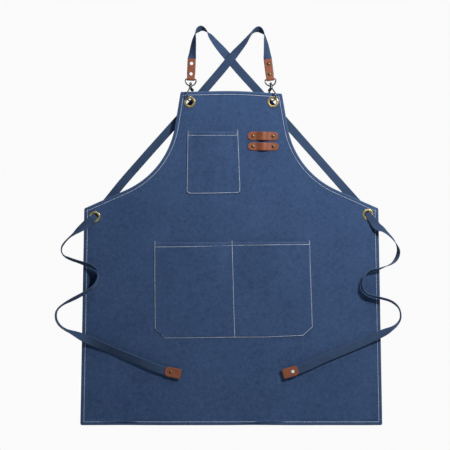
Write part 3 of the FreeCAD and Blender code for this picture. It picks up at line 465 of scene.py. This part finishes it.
# ---------------------------------------------------------------- bib pocket and lower pocket
# Patch pockets of the same canvas, turned under and edge-stitched at the sides and foot. The mouth is a
# doubled hem that stands a little open. The lower pocket is divided by a stitched line.
def make_pocket(name, node, heights, left, right, foot_slope, hem, gapes, open_depth):
    """A pocket as one cloth: its outer face bulges as depth * (1 - (2a - 1)^2) * (1 - v)^1.6 over each room.

    left and right are the sides at each height, a runs across a room and v down from the mouth. Towards
    the stitched edges the cloth goes down to the panel, and at the mouth it is twice as thick.
    """
    v = crowded(46, 0.03, 7)[:, None]
    u = crowded(90, 0.03, 6)[None, :]
    top, foot = heights[0], heights[-1]
    z_even = top[0] + (top[1] - top[0]) * u + v * (foot[0] - top[0] + (foot_slope + top[0] - top[1]) * u)
    level = np.array([(h[0] + h[1]) / 2 for h in heights])
    share_level = np.interp(v, (level - level[0]) / (level[-1] - level[0]), level)
    x_left, x_right = np.interp(-share_level, -level, left), np.interp(-share_level, -level, right)
    x = x_left + (x_right - x_left) * u
    x, z = np.broadcast_arrays(x, z_even)
    edge = np.minimum.reduce([(x - x_left), (x_right - x), (1 - v) * (level[0] - level[-1]) + 0 * x])
    rise = 0.0016 * (1 - np.exp(-edge / 0.0007))
    bulge = np.zeros_like(x)
    for low, high in gapes:
        a = np.clip((x - low) / (high - low), 0, 1)
        bulge = np.maximum(bulge, (4 * a * (1 - a)) ** 1.25)
    bulge = bulge * open_depth * (1 - v) ** 1.7 * np.clip(edge / 0.012, 0, 1) ** 0.8
    mouth = np.clip(1 - (v * (level[0] - level[-1]) - hem) / 0.0012, 0, 1)
    pucker = 0.00012 * np.sin(full_turn * z / 0.0085 + 9 * x) * np.exp(-edge / 0.006)
    base = hang(x, z) - cloth_half
    front = base - 0.0003 - rise - bulge - 0.00035 * mouth + pucker
    back = np.minimum(front + 0.0008 + 0.0006 * mouth, base + 0.0004)
    every_quad = np.ones((x.shape[0] - 1, x.shape[1] - 1), bool)
    points, faces, used = close_layers(np.stack([x, front, z], -1), np.stack([x, back, z], -1), every_quad)
    worn = np.clip(1 - edge / 0.0025, 0, 1) + np.clip(1 - v * (level[0] - level[-1]) / 0.0035, 0, 1)
    worn = np.concatenate([np.clip(worn, 0, 1).ravel()] * 2)[used]
    made = new_piece(name, points, faces, canvas, marks={"rub": worn})
    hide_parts(node)

    def surface(px, pz):
        """Depth of the pocket's outer face, read off the nearest of its points."""
        shape = px.shape
        flat_x, flat_z = px.ravel(), pz.ravel()
        row = np.clip(np.searchsorted(-share_level[:, 0], -flat_z), 0, len(v) - 1)
        share = (flat_x - x_left[row, 0]) / (x_right[row, 0] - x_left[row, 0])
        column = np.clip(np.searchsorted(u[0], share), 0, u.shape[1] - 1)
        depth = np.minimum(front[row, column], hang(flat_x, flat_z) - cloth_half)
        return depth.reshape(shape)

    return made, surface


bib_pocket, bib_surface = make_pocket(
    "patch_pocket_bib", "bib_pocket",
    [(-0.2345, -0.2345), (-0.368, -0.368), (-0.3725, -0.3725), (-0.3748, -0.3748)],
    [-0.1000, -0.1020, -0.1000, -0.0950], [0.0163, 0.0213, 0.0208, 0.0185], 0.0012, 0.0088,
    [(-0.088, 0.004)], 0.0075,
)
bib_rows = [
    np.array([(-0.0985, -0.2422), (-0.055, -0.2431), (-0.010, -0.2428), (0.0145, -0.2421)]),
    np.array([(-0.0973, -0.2318), (-0.0985, -0.300), (-0.0995, -0.3665), (-0.0972, -0.3712),
              (-0.0930, -0.3727), (-0.040, -0.3724), (0.0150, -0.3708), (0.0183, -0.3690), (0.0190, -0.360),
              (0.0160, -0.280), (0.0141, -0.2300)]),
]
bib_stitches = new_piece("bib_pocket_stitching", *stitches(bib_rows, bib_surface, 0.0031), thread)

lower_pocket, lower_surface = make_pocket(
    "patch_pocket_lower", "lower_pocket",
    [(-0.4838, -0.4818), (-0.6715, -0.6715), (-0.6800, -0.6800), (-0.6985, -0.6985)],
    [-0.1738, -0.1735, -0.1722, -0.1498], [0.1775, 0.1845, 0.1825, 0.1610], 0.0046, 0.0100,
    [(-0.160, -0.006), (0.014, 0.164)], 0.0085,
)
lower_rows = [
    np.array([(-0.1722, -0.4938), (-0.080, -0.4925), (0.002, -0.4900), (0.100, -0.4886), (0.1755, -0.4880)]),
    np.array([(-0.1720, -0.4805), (-0.1722, -0.560), (-0.1712, -0.6790), (-0.1488, -0.6985),
              (-0.060, -0.6975), (0.004, -0.6965), (0.080, -0.6962), (0.1610, -0.6925), (0.1822, -0.6735),
              (0.1800, -0.610), (0.1775, -0.540), (0.1760, -0.4785)]),
    np.array([(0.0016, -0.4795), (0.0038, -0.560), (0.0055, -0.630), (0.0079, -0.6965)]),
]
lower_stitches = new_piece("lower_pocket_stitching", *stitches(lower_rows, lower_surface, 0.0031), thread)


# ---------------------------------------------------------------- leather tool loops
# Two saddle-leather straps with round ends, riveted flat to the bib and arched in the middle, so that a
# pen or a spoon goes through. The cut edges are burnished darker than the grain side.
leather, tree, shader = principled(
    "saddle_leather", Roughness=0.50, Specular_IOR_Level=0.25, Coat_Weight=0.05, Coat_Roughness=0.35
)
where = shader_node(tree, "TexCoord").outputs["Object"]
pores = shader_node(tree, "TexVoronoi", {"Vector": where, "Scale": 950.0}).outputs["Distance"]
creases = noise(tree, where, 420, 4, 0.65)
patches = noise(tree, where, 75, 3, 0.6)
hide = reckon(tree, "MULTIPLY_ADD", patches, 0.75, reckon(tree, "MULTIPLY_ADD", creases, 0.35, -0.05))
hide = ramp(tree, hide, (0.25, (0.150, 0.043, 0.020)), (0.75, (0.232, 0.074, 0.038)))
burnish = shader_node(tree, "Attribute", attribute_name="cut_edge").outputs["Fac"]
hide = mixed(tree, reckon(tree, "MULTIPLY", burnish, 0.75), hide, (0.085, 0.028, 0.014, 1))
tree.links.new(hide, shader.inputs["Base Color"])
height = reckon(tree, "MULTIPLY_ADD", pores, 0.5, creases)
relief = shader_node(tree, "Bump", {"Strength": 0.35, "Distance": 0.0004, "Height": height})
tree.links.new(relief.outputs[0], shader.inputs["Normal"])


def band(centre, across, half_width, half_thick, corner, flat=9):
    """A flat band carried along a path: points, quads, its cloth coordinates and how near its edges they are.

    Its section is a rectangle with rounded sides: flat points on each face and five round each side. The
    sides' arcs are corner * half_thick deep.
    """
    way = np.gradient(centre, axis=0)
    way /= np.linalg.norm(way, axis=1)[:, None]
    across = across - way * np.sum(across * way, 1)[:, None]
    across /= np.linalg.norm(across, axis=1)[:, None]
    through = np.cross(way, across)
    s, angle = np.linspace(-1, 1, flat), np.radians([60, 30, 0, -30, -60])
    side, up = np.cos(angle), np.sin(angle)
    share = np.concatenate([s, np.ones(5), -s, -np.ones(5)])
    round_off = np.concatenate([np.zeros(flat), side, np.zeros(flat), -side])
    level = np.concatenate([np.ones(flat), up, -np.ones(flat), -up])
    depth = corner * half_thick[:, None]
    out = share * (half_width[:, None] - depth) + round_off * depth
    high = level * half_thick[:, None]
    points = centre[:, None] + across[:, None] * out[..., None] + through[:, None] * high[..., None]
    count, ring = len(centre), len(share)
    faces = grid_faces(count, ring, round_columns=True)
    j = np.arange(ring // 2 - 1)
    lid = np.stack([j, j + 1, ring - 2 - j, ring - 1 - j], 1)
    faces = np.concatenate([faces, lid[:, ::-1], lid + (count - 1) * ring])
    gone = np.concatenate([[0], np.cumsum(np.linalg.norm(np.diff(centre, axis=0), axis=1))])
    cloth = np.stack([out, np.broadcast_to(gone[:, None], out.shape)], -1)
    edge = np.broadcast_to(np.abs(round_off) ** 0.5, out.shape)
    return points.reshape(-1, 3), faces, cloth.reshape(-1, 2), edge.reshape(-1)


def round_end(gone, length, half_width, radius):
    """Half width along a band with rounded end corners: hw - r + sqrt(r^2 - (r - s)^2) at s from an end."""
    s = np.clip(np.minimum(gone, length - gone), 0, radius)
    return half_width - radius + np.sqrt(np.maximum(radius**2 - (radius - s) ** 2, 0))


def crowd_ends(length, count, reach):
    """Distances along a band, closer together within reach of both ends."""
    near = reach * (1 - np.cos(np.linspace(0, math.pi / 2, 14)))
    return np.concatenate([near[:-1], np.linspace(reach, length - reach, count), (length - near[::-1])[1:]])


for name, left, right, top, foot in (
    ("upper", 0.0365, 0.1060, -0.2345, -0.2540), ("lower", 0.0370, 0.1065, -0.2585, -0.2765),
):
    radius, span = (top - foot) / 2, right - left
    gone = crowd_ends(span, 60, radius)
    x = left + gone
    arch = np.clip(1 - np.abs(x - (left + right) / 2) / 0.0175, 0, 1)
    y = -0.0017 - 0.0066 * (3 * arch**2 - 2 * arch**3)
    lift = 0.0004 * np.sin(gone * 61 + (0.8 if name == "upper" else 2.0))
    line = np.stack([x, y, np.full_like(x, (top + foot) / 2) + lift], 1)
    widths = np.maximum(round_end(gone, span, radius, radius), 0.0012)
    points, faces, cloth, edge = band(
        line, np.tile([0, 0, 1.0], (len(x), 1)), widths, np.full_like(x, 0.0010), 0.7
    )
    loop = new_piece(f"tool_strap_{name}", points, faces, leather, cloth, {"cut_edge": edge})
    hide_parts(f"tool_loop_{name}")


# ---------------------------------------------------------------- rivets
# Domed caps of darkened brass on the show side, pressed on posts with flat nickel heads behind. On the
# left strap tab and the right tie tip they are the other way round.
def old_metal(name, deep, clear, roughness, blotch=260.0, relief=0.00012):
    """A worn plated metal: clear where it is rubbed, deep where it has darkened, faintly pitted."""
    metal, tree, shader = principled(name, Metallic=1.0, Roughness=roughness)
    where = shader_node(tree, "TexCoord").outputs["Object"]
    tarnish = noise(tree, where, blotch, 4, 0.65)
    tree.links.new(ramp(tree, tarnish, (0.36, deep), (0.66, clear)), shader.inputs["Base Color"])
    worn = reckon(tree, "MULTIPLY_ADD", tarnish, -0.22, roughness + 0.12)
    tree.links.new(worn, shader.inputs["Roughness"])
    pits = noise(tree, where, 1400, 2)
    pitted = shader_node(tree, "Bump", {"Strength": 0.25, "Distance": relief, "Height": pits})
    tree.links.new(pitted.outputs[0], shader.inputs["Normal"])
    return metal


def dress(material, *names):
    """Give the frame's own nodes a finish."""
    for name in names:
        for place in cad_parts[name].material_slots:
            place.material = material


cap_brass = old_metal("dark_brass_caps", (0.045, 0.032, 0.016), (0.19, 0.135, 0.068), 0.34)
nickel = old_metal("nickel_heads", (0.80, 0.80, 0.78), (0.95, 0.94, 0.92), 0.42)
dress(cap_brass, "tool_loop_rivet_caps", "pocket_rivet_caps", "strap_tab_rivet_caps_left",
      "strap_tab_rivet_caps_right", "tie_tip_rivet_cap_left", "tie_tip_rivet_cap_right")
dress(nickel, "tool_loop_rivet_posts", "pocket_rivet_posts", "strap_tab_rivet_posts_left",
      "strap_tab_rivet_posts_right", "tie_tip_rivet_post_left", "tie_tip_rivet_post_right")


# ---------------------------------------------------------------- eyelets
# Antique-brass eyelets with washers in the bib's and the waist's corners. Their plating is darkened and
# rubbed bright in random patches.
eyelet_brass = old_metal("antique_brass_eyelets", (0.17, 0.125, 0.050), (0.62, 0.48, 0.24), 0.30, 180.0)
for level in ("bib", "waist"):
    for side in ("left", "right"):
        dress(eyelet_brass, f"{level}_eyelet_{side}", f"{level}_eyelet_washer_{side}")


# ---------------------------------------------------------------- shoulder straps
# Nineteen-millimetre cotton webbing in the canvas's blue. Each strap goes up from its tab, over its loop,
# down behind the bib and across the other, and through the waist eyelet of the other side.
webbing, tree, shader = principled(
    "blue_cotton_webbing", Roughness=0.85, Sheen_Weight=0.20, Sheen_Roughness=0.4,
    Sheen_Tint=(0.45, 0.60, 0.90, 1), Specular_IOR_Level=0.12,
)
cloth_uv = shader_node(tree, "UVMap", uv_map="cloth").outputs[0]
where = shader_node(tree, "TexCoord").outputs["Object"]
split = shader_node(tree, "SeparateXYZ", {0: cloth_uv}).outputs
rib_pitch, pick_pitch = 0.0011, 0.0013
ribs = reckon(tree, "SINE", reckon(tree, "MULTIPLY", split[0], 2 * math.pi / rib_pitch))
picks = reckon(tree, "SINE", reckon(tree, "MULTIPLY", split[1], 2 * math.pi / pick_pitch))
lift = reckon(tree, "MULTIPLY", ribs, picks)
yarn = noise(tree, cloth_uv, 1.0, 3, 0.6, (1500, 240, 1))
pick = noise(tree, cloth_uv, 1.0, 2, 0.6, (260, 1300, 1))
fading = noise(tree, where, 34, 3, 0.6)
amount = reckon(tree, "MULTIPLY_ADD", yarn, 0.55, reckon(tree, "MULTIPLY_ADD", pick, 0.45, -0.25))
amount = reckon(tree, "MULTIPLY_ADD", fading, 0.45, amount)
colour = ramp(tree, amount, (0.12, (0.017, 0.035, 0.080)), (0.88, (0.047, 0.082, 0.160)))
# The webbing's rounded edges are painted a lighter blue: a painted highlight along the edges, where they
# catch the light.
painted_edge_highlight = shader_node(tree, "Attribute", attribute_name="painted_edge_highlight").outputs["Fac"]
colour = mixed(tree, reckon(tree, "MULTIPLY", painted_edge_highlight, 0.30), colour, (0.13, 0.19, 0.32, 1))
tree.links.new(colour, shader.inputs["Base Color"])
height = reckon(tree, "MULTIPLY_ADD", lift, 0.4, yarn)
relief = shader_node(tree, "Bump", {"Strength": 0.5, "Distance": 0.0005, "Height": height})
tree.links.new(relief.outputs[0], shader.inputs["Normal"])

webbing_half, webbing_thick = 0.0093, 0.0008
chains = {
    # hook's bend in the eyelet, and the lean of the chain towards +X
    "left": (np.array([-0.0935, 0, -0.1650]), math.radians(2.8)),
    "right": (np.array([0.0935, 0, -0.1650]), math.radians(-7.0)),
}
bar_rise, tab_height = 0.049, 0.046
# Each station is across, depth and height in millimetres, and the band's twist in degrees: on edge at 90,
# past it the other face shows, and at 180 the band is flat the other way round.
strap_routes = {
    "left": [
        (-87.6, 0.2, -60.5, 153), (-86.2, 0.4, -48, 138), (-84.9, 0.9, -36.4, 127), (-83.2, 1.9, -23.4, 112),
        (-80.9, 3.6, -11.6, 90), (-75.8, 5.2, -4.9, 66), (-69.1, 6.8, -1.2, 56), (-62, 8.4, -2.8, 72),
        (-55.6, 9.8, -7.6, 88), (-49.1, 11, -15.2, 116), (-38.4, 12.4, -28.7, 137), (-32, 13, -36.5, 148),
        (-25.3, 13.6, -44.1, 158), (-17.8, 14.5, -52.7, 169), (-3.5, 15.6, -69.3, 178),
        (16.3, 16.2, -92.7, 180), (46.8, 16.8, -126.5, 180), (93.8, 17.4, -179.1, 180),
        (199.3, 12.5, -298.5, 171), (246.8, 9.5, -352.7, 175),
    ],
    "right": [
        (80.9, 0.2, -61, 153), (79.7, 0.4, -49, 136), (78.7, 0.8, -39.4, 126), (76.9, 1.6, -27, 111),
        (74.6, 3, -14.8, 92), (68.7, 4.4, -7.2, 66), (62, 5.8, -3.3, 51), (54.8, 7, -5, 66),
        (48, 8, -9.3, 80), (40.6, 8.8, -17.5, 76), (31.9, 9.7, -29.5, 60), (25.9, 10.2, -37, 52),
        (19.7, 10.6, -44.2, 44), (12.4, 11, -52.6, 33), (2.5, 11.5, -64.5, 12), (-3.7, 11.9, -71.7, 4),
        (-21.2, 12.9, -93, 6), (-50.1, 14.2, -126.7, 4), (-87.9, 15.4, -170.3, 0), (-201.6, 12, -298.5, 9),
        (-248.6, 9.5, -352.7, 5),
    ],
}
flat_twist = {"left": 180, "right": 0}


def flowing(stations, count):
    """A smooth course through stations: each column is a cubic from one to the next.

    The slope at a station is the mean of the slopes on its two sides, each weighted by the other's length.
    """
    step = np.linalg.norm(np.diff(stations[:, :3], axis=0), axis=1)[:, None]
    slope = np.diff(stations, axis=0) / step
    inner = (slope[:-1] * step[1:] + slope[1:] * step[:-1]) / (step[1:] + step[:-1])
    slopes = np.concatenate([slope[:1], inner, slope[-1:]])
    knots = np.concatenate([[0], np.cumsum(step)])
    at = np.linspace(0, knots[-1], count)
    k = np.clip(np.searchsorted(knots, at, "right") - 1, 0, len(step) - 1)
    h = step[k]
    t = ((at - knots[k]) / h[:, 0])[:, None]
    return (
        (2 * t**3 - 3 * t**2 + 1) * stations[k] + (t**3 - 2 * t**2 + t) * h * slopes[k]
        + (3 * t**2 - 2 * t**3) * stations[k + 1] + (t**3 - t**2) * h * slopes[k + 1]
    )


def webbing_band(stations, turn, count=520):
    """Webbing along stations of x, y, z, twist, half width and half thickness.

    At twist 0 its face is to the front, at 90 degrees it stands on edge, and from there to 180 its other
    face turns to the front. turn is the side of the route that its near edge leans to: 1 left, -1 right.
    """
    course = flowing(np.array(stations, float), count)
    centre, twist = course[:, :3], np.radians(course[:, 3])
    way = np.gradient(centre, axis=0)
    lean = np.stack([-way[:, 2], np.zeros(count), way[:, 0]], 1) * turn
    lean /= np.linalg.norm(lean, axis=1)[:, None]
    across = lean * np.cos(twist)[:, None] + np.array([0, -1.0, 0]) * np.sin(twist)[:, None]
    return band(centre, across, course[:, 4], course[:, 5], 0.9)


def up_chain(name, rise):
    """A point on a chain's line, that far above the hook's bend."""
    bend, lean = chains[name]
    return bend + rise * np.array([math.sin(lean), 0, math.cos(lean)])


for name, side in (("left", -1), ("right", 1)):
    far = {"left": "right", "right": "left"}[name]
    eye = np.array(waist_eyelets[far])
    last = np.array(strap_routes[name][-1][:3]) * 0.001
    way = np.array([eye[0] - last[0], 0, eye[2] - last[2]])
    way /= np.linalg.norm(way)
    stations = [
        (*up_chain(name, bar_rise + r), 180, webbing_half, webbing_thick) for r in (0.010, 0.028, tab_height)
    ]
    for x, y, z, twist in strap_routes[name]:
        stations.append((x * 0.001, y * 0.001, z * 0.001, twist, webbing_half, webbing_thick))
    for r, depth, half, thick in (
        (0.045, 0.0080, 0.0093, 0.0008), (0.022, 0.0047, 0.0092, 0.0008), (0.012, 0.0041, 0.0088, 0.0009),
        (0.0065, 0.0039, 0.0082, 0.0010), (0.003, 0.0031, 0.0076, 0.0010), (0.0, 0.0004, 0.0073, 0.0028),
        (-0.0004, -0.0010, 0.0072, 0.0026),
    ):
        at = eye - way * r
        stations.append((at[0], depth, at[2], flat_twist[name], half, thick))
    points, faces, cloth, edge = webbing_band(stations, -side)
    strap = new_piece(f"webbing_strap_{name}", points, faces, webbing, cloth, {"painted_edge_highlight": edge})
    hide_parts(f"shoulder_strap_{name}")


# ---------------------------------------------------------------- strap tabs
# A strip of saddle leather folded round the D's bar and riveted twice through the strap's end.
def folded_leather(spine, width_way, half_width, corner):
    """A leather strip along a folded spine of points, its end corners rounded."""
    gone = np.concatenate([[0], np.cumsum(np.linalg.norm(np.diff(spine, axis=0), axis=1))])
    at = crowd_ends(gone[-1], 110, max(corner, 0.002))
    line = np.stack([np.interp(at, gone, spine[:, k]) for k in range(3)], 1)
    widths = np.maximum(round_end(at, gone[-1], half_width, corner), 0.0012)
    return band(line, np.tile(width_way, (len(at), 1)), widths, np.full(len(at), 0.0009), 0.8)


def fold_spine(rings, throat, height, near=0.0017):
    """The middle of leather folded about a foot, as (depth, rise): down the front, round and up the back.

    The sides stand near from the middle above the throat and swing out to the ring round the foot.
    """
    rise = np.linspace(height, throat, 60)
    neck = np.linspace(throat, 0, 14)[1:-1]
    ease = 0.5 - 0.5 * np.cos(math.pi * (1 - neck / throat))
    angle = np.linspace(0, math.pi, 25)
    front = [np.stack([np.full(60, -near), rise], 1), np.stack([-near - (rings - near) * ease, neck], 1)]
    foot = np.stack([-rings * np.cos(angle), -rings * np.sin(angle)], 1)
    back = [np.stack([-part[::-1, 0], part[::-1, 1]], 1) for part in front[::-1]]
    return np.concatenate([*front, foot, *back])


def pressed(points, at, through, reach=0.0052, deep=0.00028):
    """Folded leather drawn in under a rivet: deep * exp(-(distance / reach)^2) towards the middle."""
    away = points - np.array(at)
    height = away @ through
    flat = np.linalg.norm(away - height[:, None] * through, axis=1)
    return points - through * (np.sign(height) * deep * np.exp(-((flat / reach) ** 2)))[:, None]


front_back = np.array([0, 1.0, 0])
for name, corner in (("left", 0.0018), ("right", 0.0042)):
    bend, lean = chains[name]
    up, wide = np.array([math.sin(lean), 0, math.cos(lean)]), np.array([math.cos(lean), 0, -math.sin(lean)])
    spine = fold_spine(0.0027, 0.0070, tab_height)
    spine = up_chain(name, bar_rise) + spine[:, :1] * front_back + spine[:, 1:] * up
    points, faces, cloth, edge = folded_leather(spine, wide, 0.00875, corner)
    for rise in (0.0115, 0.035):
        points = pressed(points, up_chain(name, bar_rise + rise), front_back)
    tab = new_piece(f"leather_tab_{name}", points, faces, leather, cloth, {"cut_edge": edge})
    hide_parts(f"strap_tab_{name}")


# ---------------------------------------------------------------- D loops and snap hooks
# Cast and bent wire fittings plated in gunmetal: dark, smooth and glossy, with a bare steel spring.
gunmetal = old_metal("gunmetal_plating", (0.045, 0.046, 0.050), (0.115, 0.115, 0.120), 0.26, 320.0, 0.00008)
spring_steel = old_metal("spring_steel", (0.30, 0.30, 0.31), (0.55, 0.55, 0.56), 0.28)
for side in ("left", "right"):
    dress(gunmetal, f"d_loop_{side}", f"snap_hook_{side}", f"hook_trigger_{side}", f"trigger_pin_{side}")
    dress(spring_steel, f"trigger_spring_{side}")


# ---------------------------------------------------------------- ties and their tips
# The straps' free ends, in front: out of the waist eyelets, where the webbing is gathered, and down in two
# loose loops that it keeps, to a folded leather tip with one rivet. Each station of a route is across and
# height in millimetres and the twist, which past 90 degrees shows the webbing's other face.
tie_routes = {
    "left": [
        (-330.4, -446, 20), (-345.6, -458.2, 54), (-352.9, -464, 70), (-361.2, -470.5, 78),
        (-368.8, -477.8, 79), (-374.7, -484.7, 77), (-379.5, -492.3, 77), (-380.6, -504.5, 80),
        (-373.4, -514.5, 78), (-365.1, -518.6, 72), (-356.5, -522, 70), (-345, -525.9, 69),
        (-331.9, -530.3, 64), (-311, -538.3, 64), (-300.5, -546.2, 80), (-298, -557.6, 93),
        (-301, -570.5, 101), (-309, -582, 105), (-321.9, -592, 110), (-340.9, -603, 112),
        (-353, -609.3, 112), (-364.8, -615.4, 107), (-375.8, -621.5, 100), (-385.8, -629.3, 97),
        (-391.5, -637, 96), (-393.5, -646.4, 96), (-391.5, -658.5, 96), (-384.7, -669.2, 96),
        (-371.2, -679.1, 99), (-360.4, -683.8, 108), (-349.4, -688.8, 125), (-330.3, -698.1, 158),
        (-289.6, -715.6, 198), (-214.7, -746.5, 203),
    ],
    "right": [
        (328.4, -448, 20), (340.5, -455, 55), (347.7, -460.8, 68), (355.2, -467.8, 75),
        (363.8, -477.4, 80), (370.3, -487.8, 88), (374.7, -501.5, 104), (373.4, -511.7, 109),
        (367.3, -523.8, 105), (360.9, -530.1, 96), (352.5, -534.6, 90), (342.2, -538.5, 82),
        (332.7, -542.2, 77), (307.9, -549.7, 74), (297.5, -559.4, 94), (292.4, -573.5, 99),
        (294.4, -587.5, 100), (302.8, -597.5, 100), (319.8, -604.2, 104), (330.3, -607, 105),
        (341.2, -609.7, 105), (351.5, -612.7, 104), (361.4, -617.2, 102), (369.1, -623, 99),
        (375.1, -630, 94), (379.4, -643.3, 91), (378.3, -656.5, 92), (370.1, -668.4, 99),
        (357.7, -677.7, 115), (349.8, -682.1, 131), (337.3, -688.1, 148), (316.5, -697.5, 162),
        (283.5, -712.6, 171), (211.7, -742.5, 176),
    ],
}
tie_tips = {
    # foot of the tip, and its lean in degrees towards +X
    "left": (np.array([-0.115, -0.0056, -0.779]), -78),
    "right": (np.array([0.117, -0.0056, -0.779]), 74),
}
tip_length, tip_rivet = 0.034, 0.022

for name, side in (("left", -1), ("right", 1)):
    eye = np.array(waist_eyelets[name])
    foot, lean = tie_tips[name]
    lean = math.radians(lean)
    up, wide = np.array([math.sin(lean), 0, math.cos(lean)]), np.array([math.cos(lean), 0, -math.sin(lean)])
    way = np.array([tie_routes[name][0][0] * 0.001 - eye[0], 0, tie_routes[name][0][1] * 0.001 - eye[2]])
    way /= np.linalg.norm(way)
    stations = [(eye[0] - 0.0004 * way[0], 0.0006, eye[2] - 0.0004 * way[2], 0, 0.0072, 0.0026)]
    for r, depth, half, thick in (
        (0.0004, -0.0006, 0.0073, 0.0028), (0.003, -0.0030, 0.0073, 0.0010),
        (0.0065, -0.0040, 0.0074, 0.0010), (0.012, -0.0044, 0.0079, 0.0009),
        (0.020, -0.0047, 0.0089, 0.0009),
    ):
        at = eye + way * r
        stations.append((at[0], depth, at[2], 0, half, thick))
    for x, z, twist in tie_routes[name]:
        depth = -max(0.0052, 0.0032 + webbing_half * abs(math.sin(math.radians(twist))))
        stations.append((x * 0.001, depth, z * 0.001, twist, webbing_half, webbing_thick))
    stations += [(*(foot + up * r), 180, webbing_half, webbing_thick) for r in (tip_length, 0.012, 0.001)]
    points, faces, cloth, edge = webbing_band(stations, -side, 760)
    tie = new_piece(f"webbing_tie_{name}", points, faces, webbing, cloth, {"painted_edge_highlight": edge}, body=None)
    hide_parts(f"tie_{name}")
    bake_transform(tie)

    spine = fold_spine(0.0017, 0.0010, tip_length)
    spine = foot + up * 0.0008 + spine[:, :1] * front_back + spine[:, 1:] * up
    points, faces, cloth, edge = folded_leather(spine, wide, 0.0110, 0.0085)
    points = pressed(points, foot + up * tip_rivet, front_back)
    tip = new_piece(
        f"leather_tip_{name}", points, faces, leather, cloth, {"cut_edge": edge}, body=f"tie_{name}_body"
    )
    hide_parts(f"tie_tip_{name}")
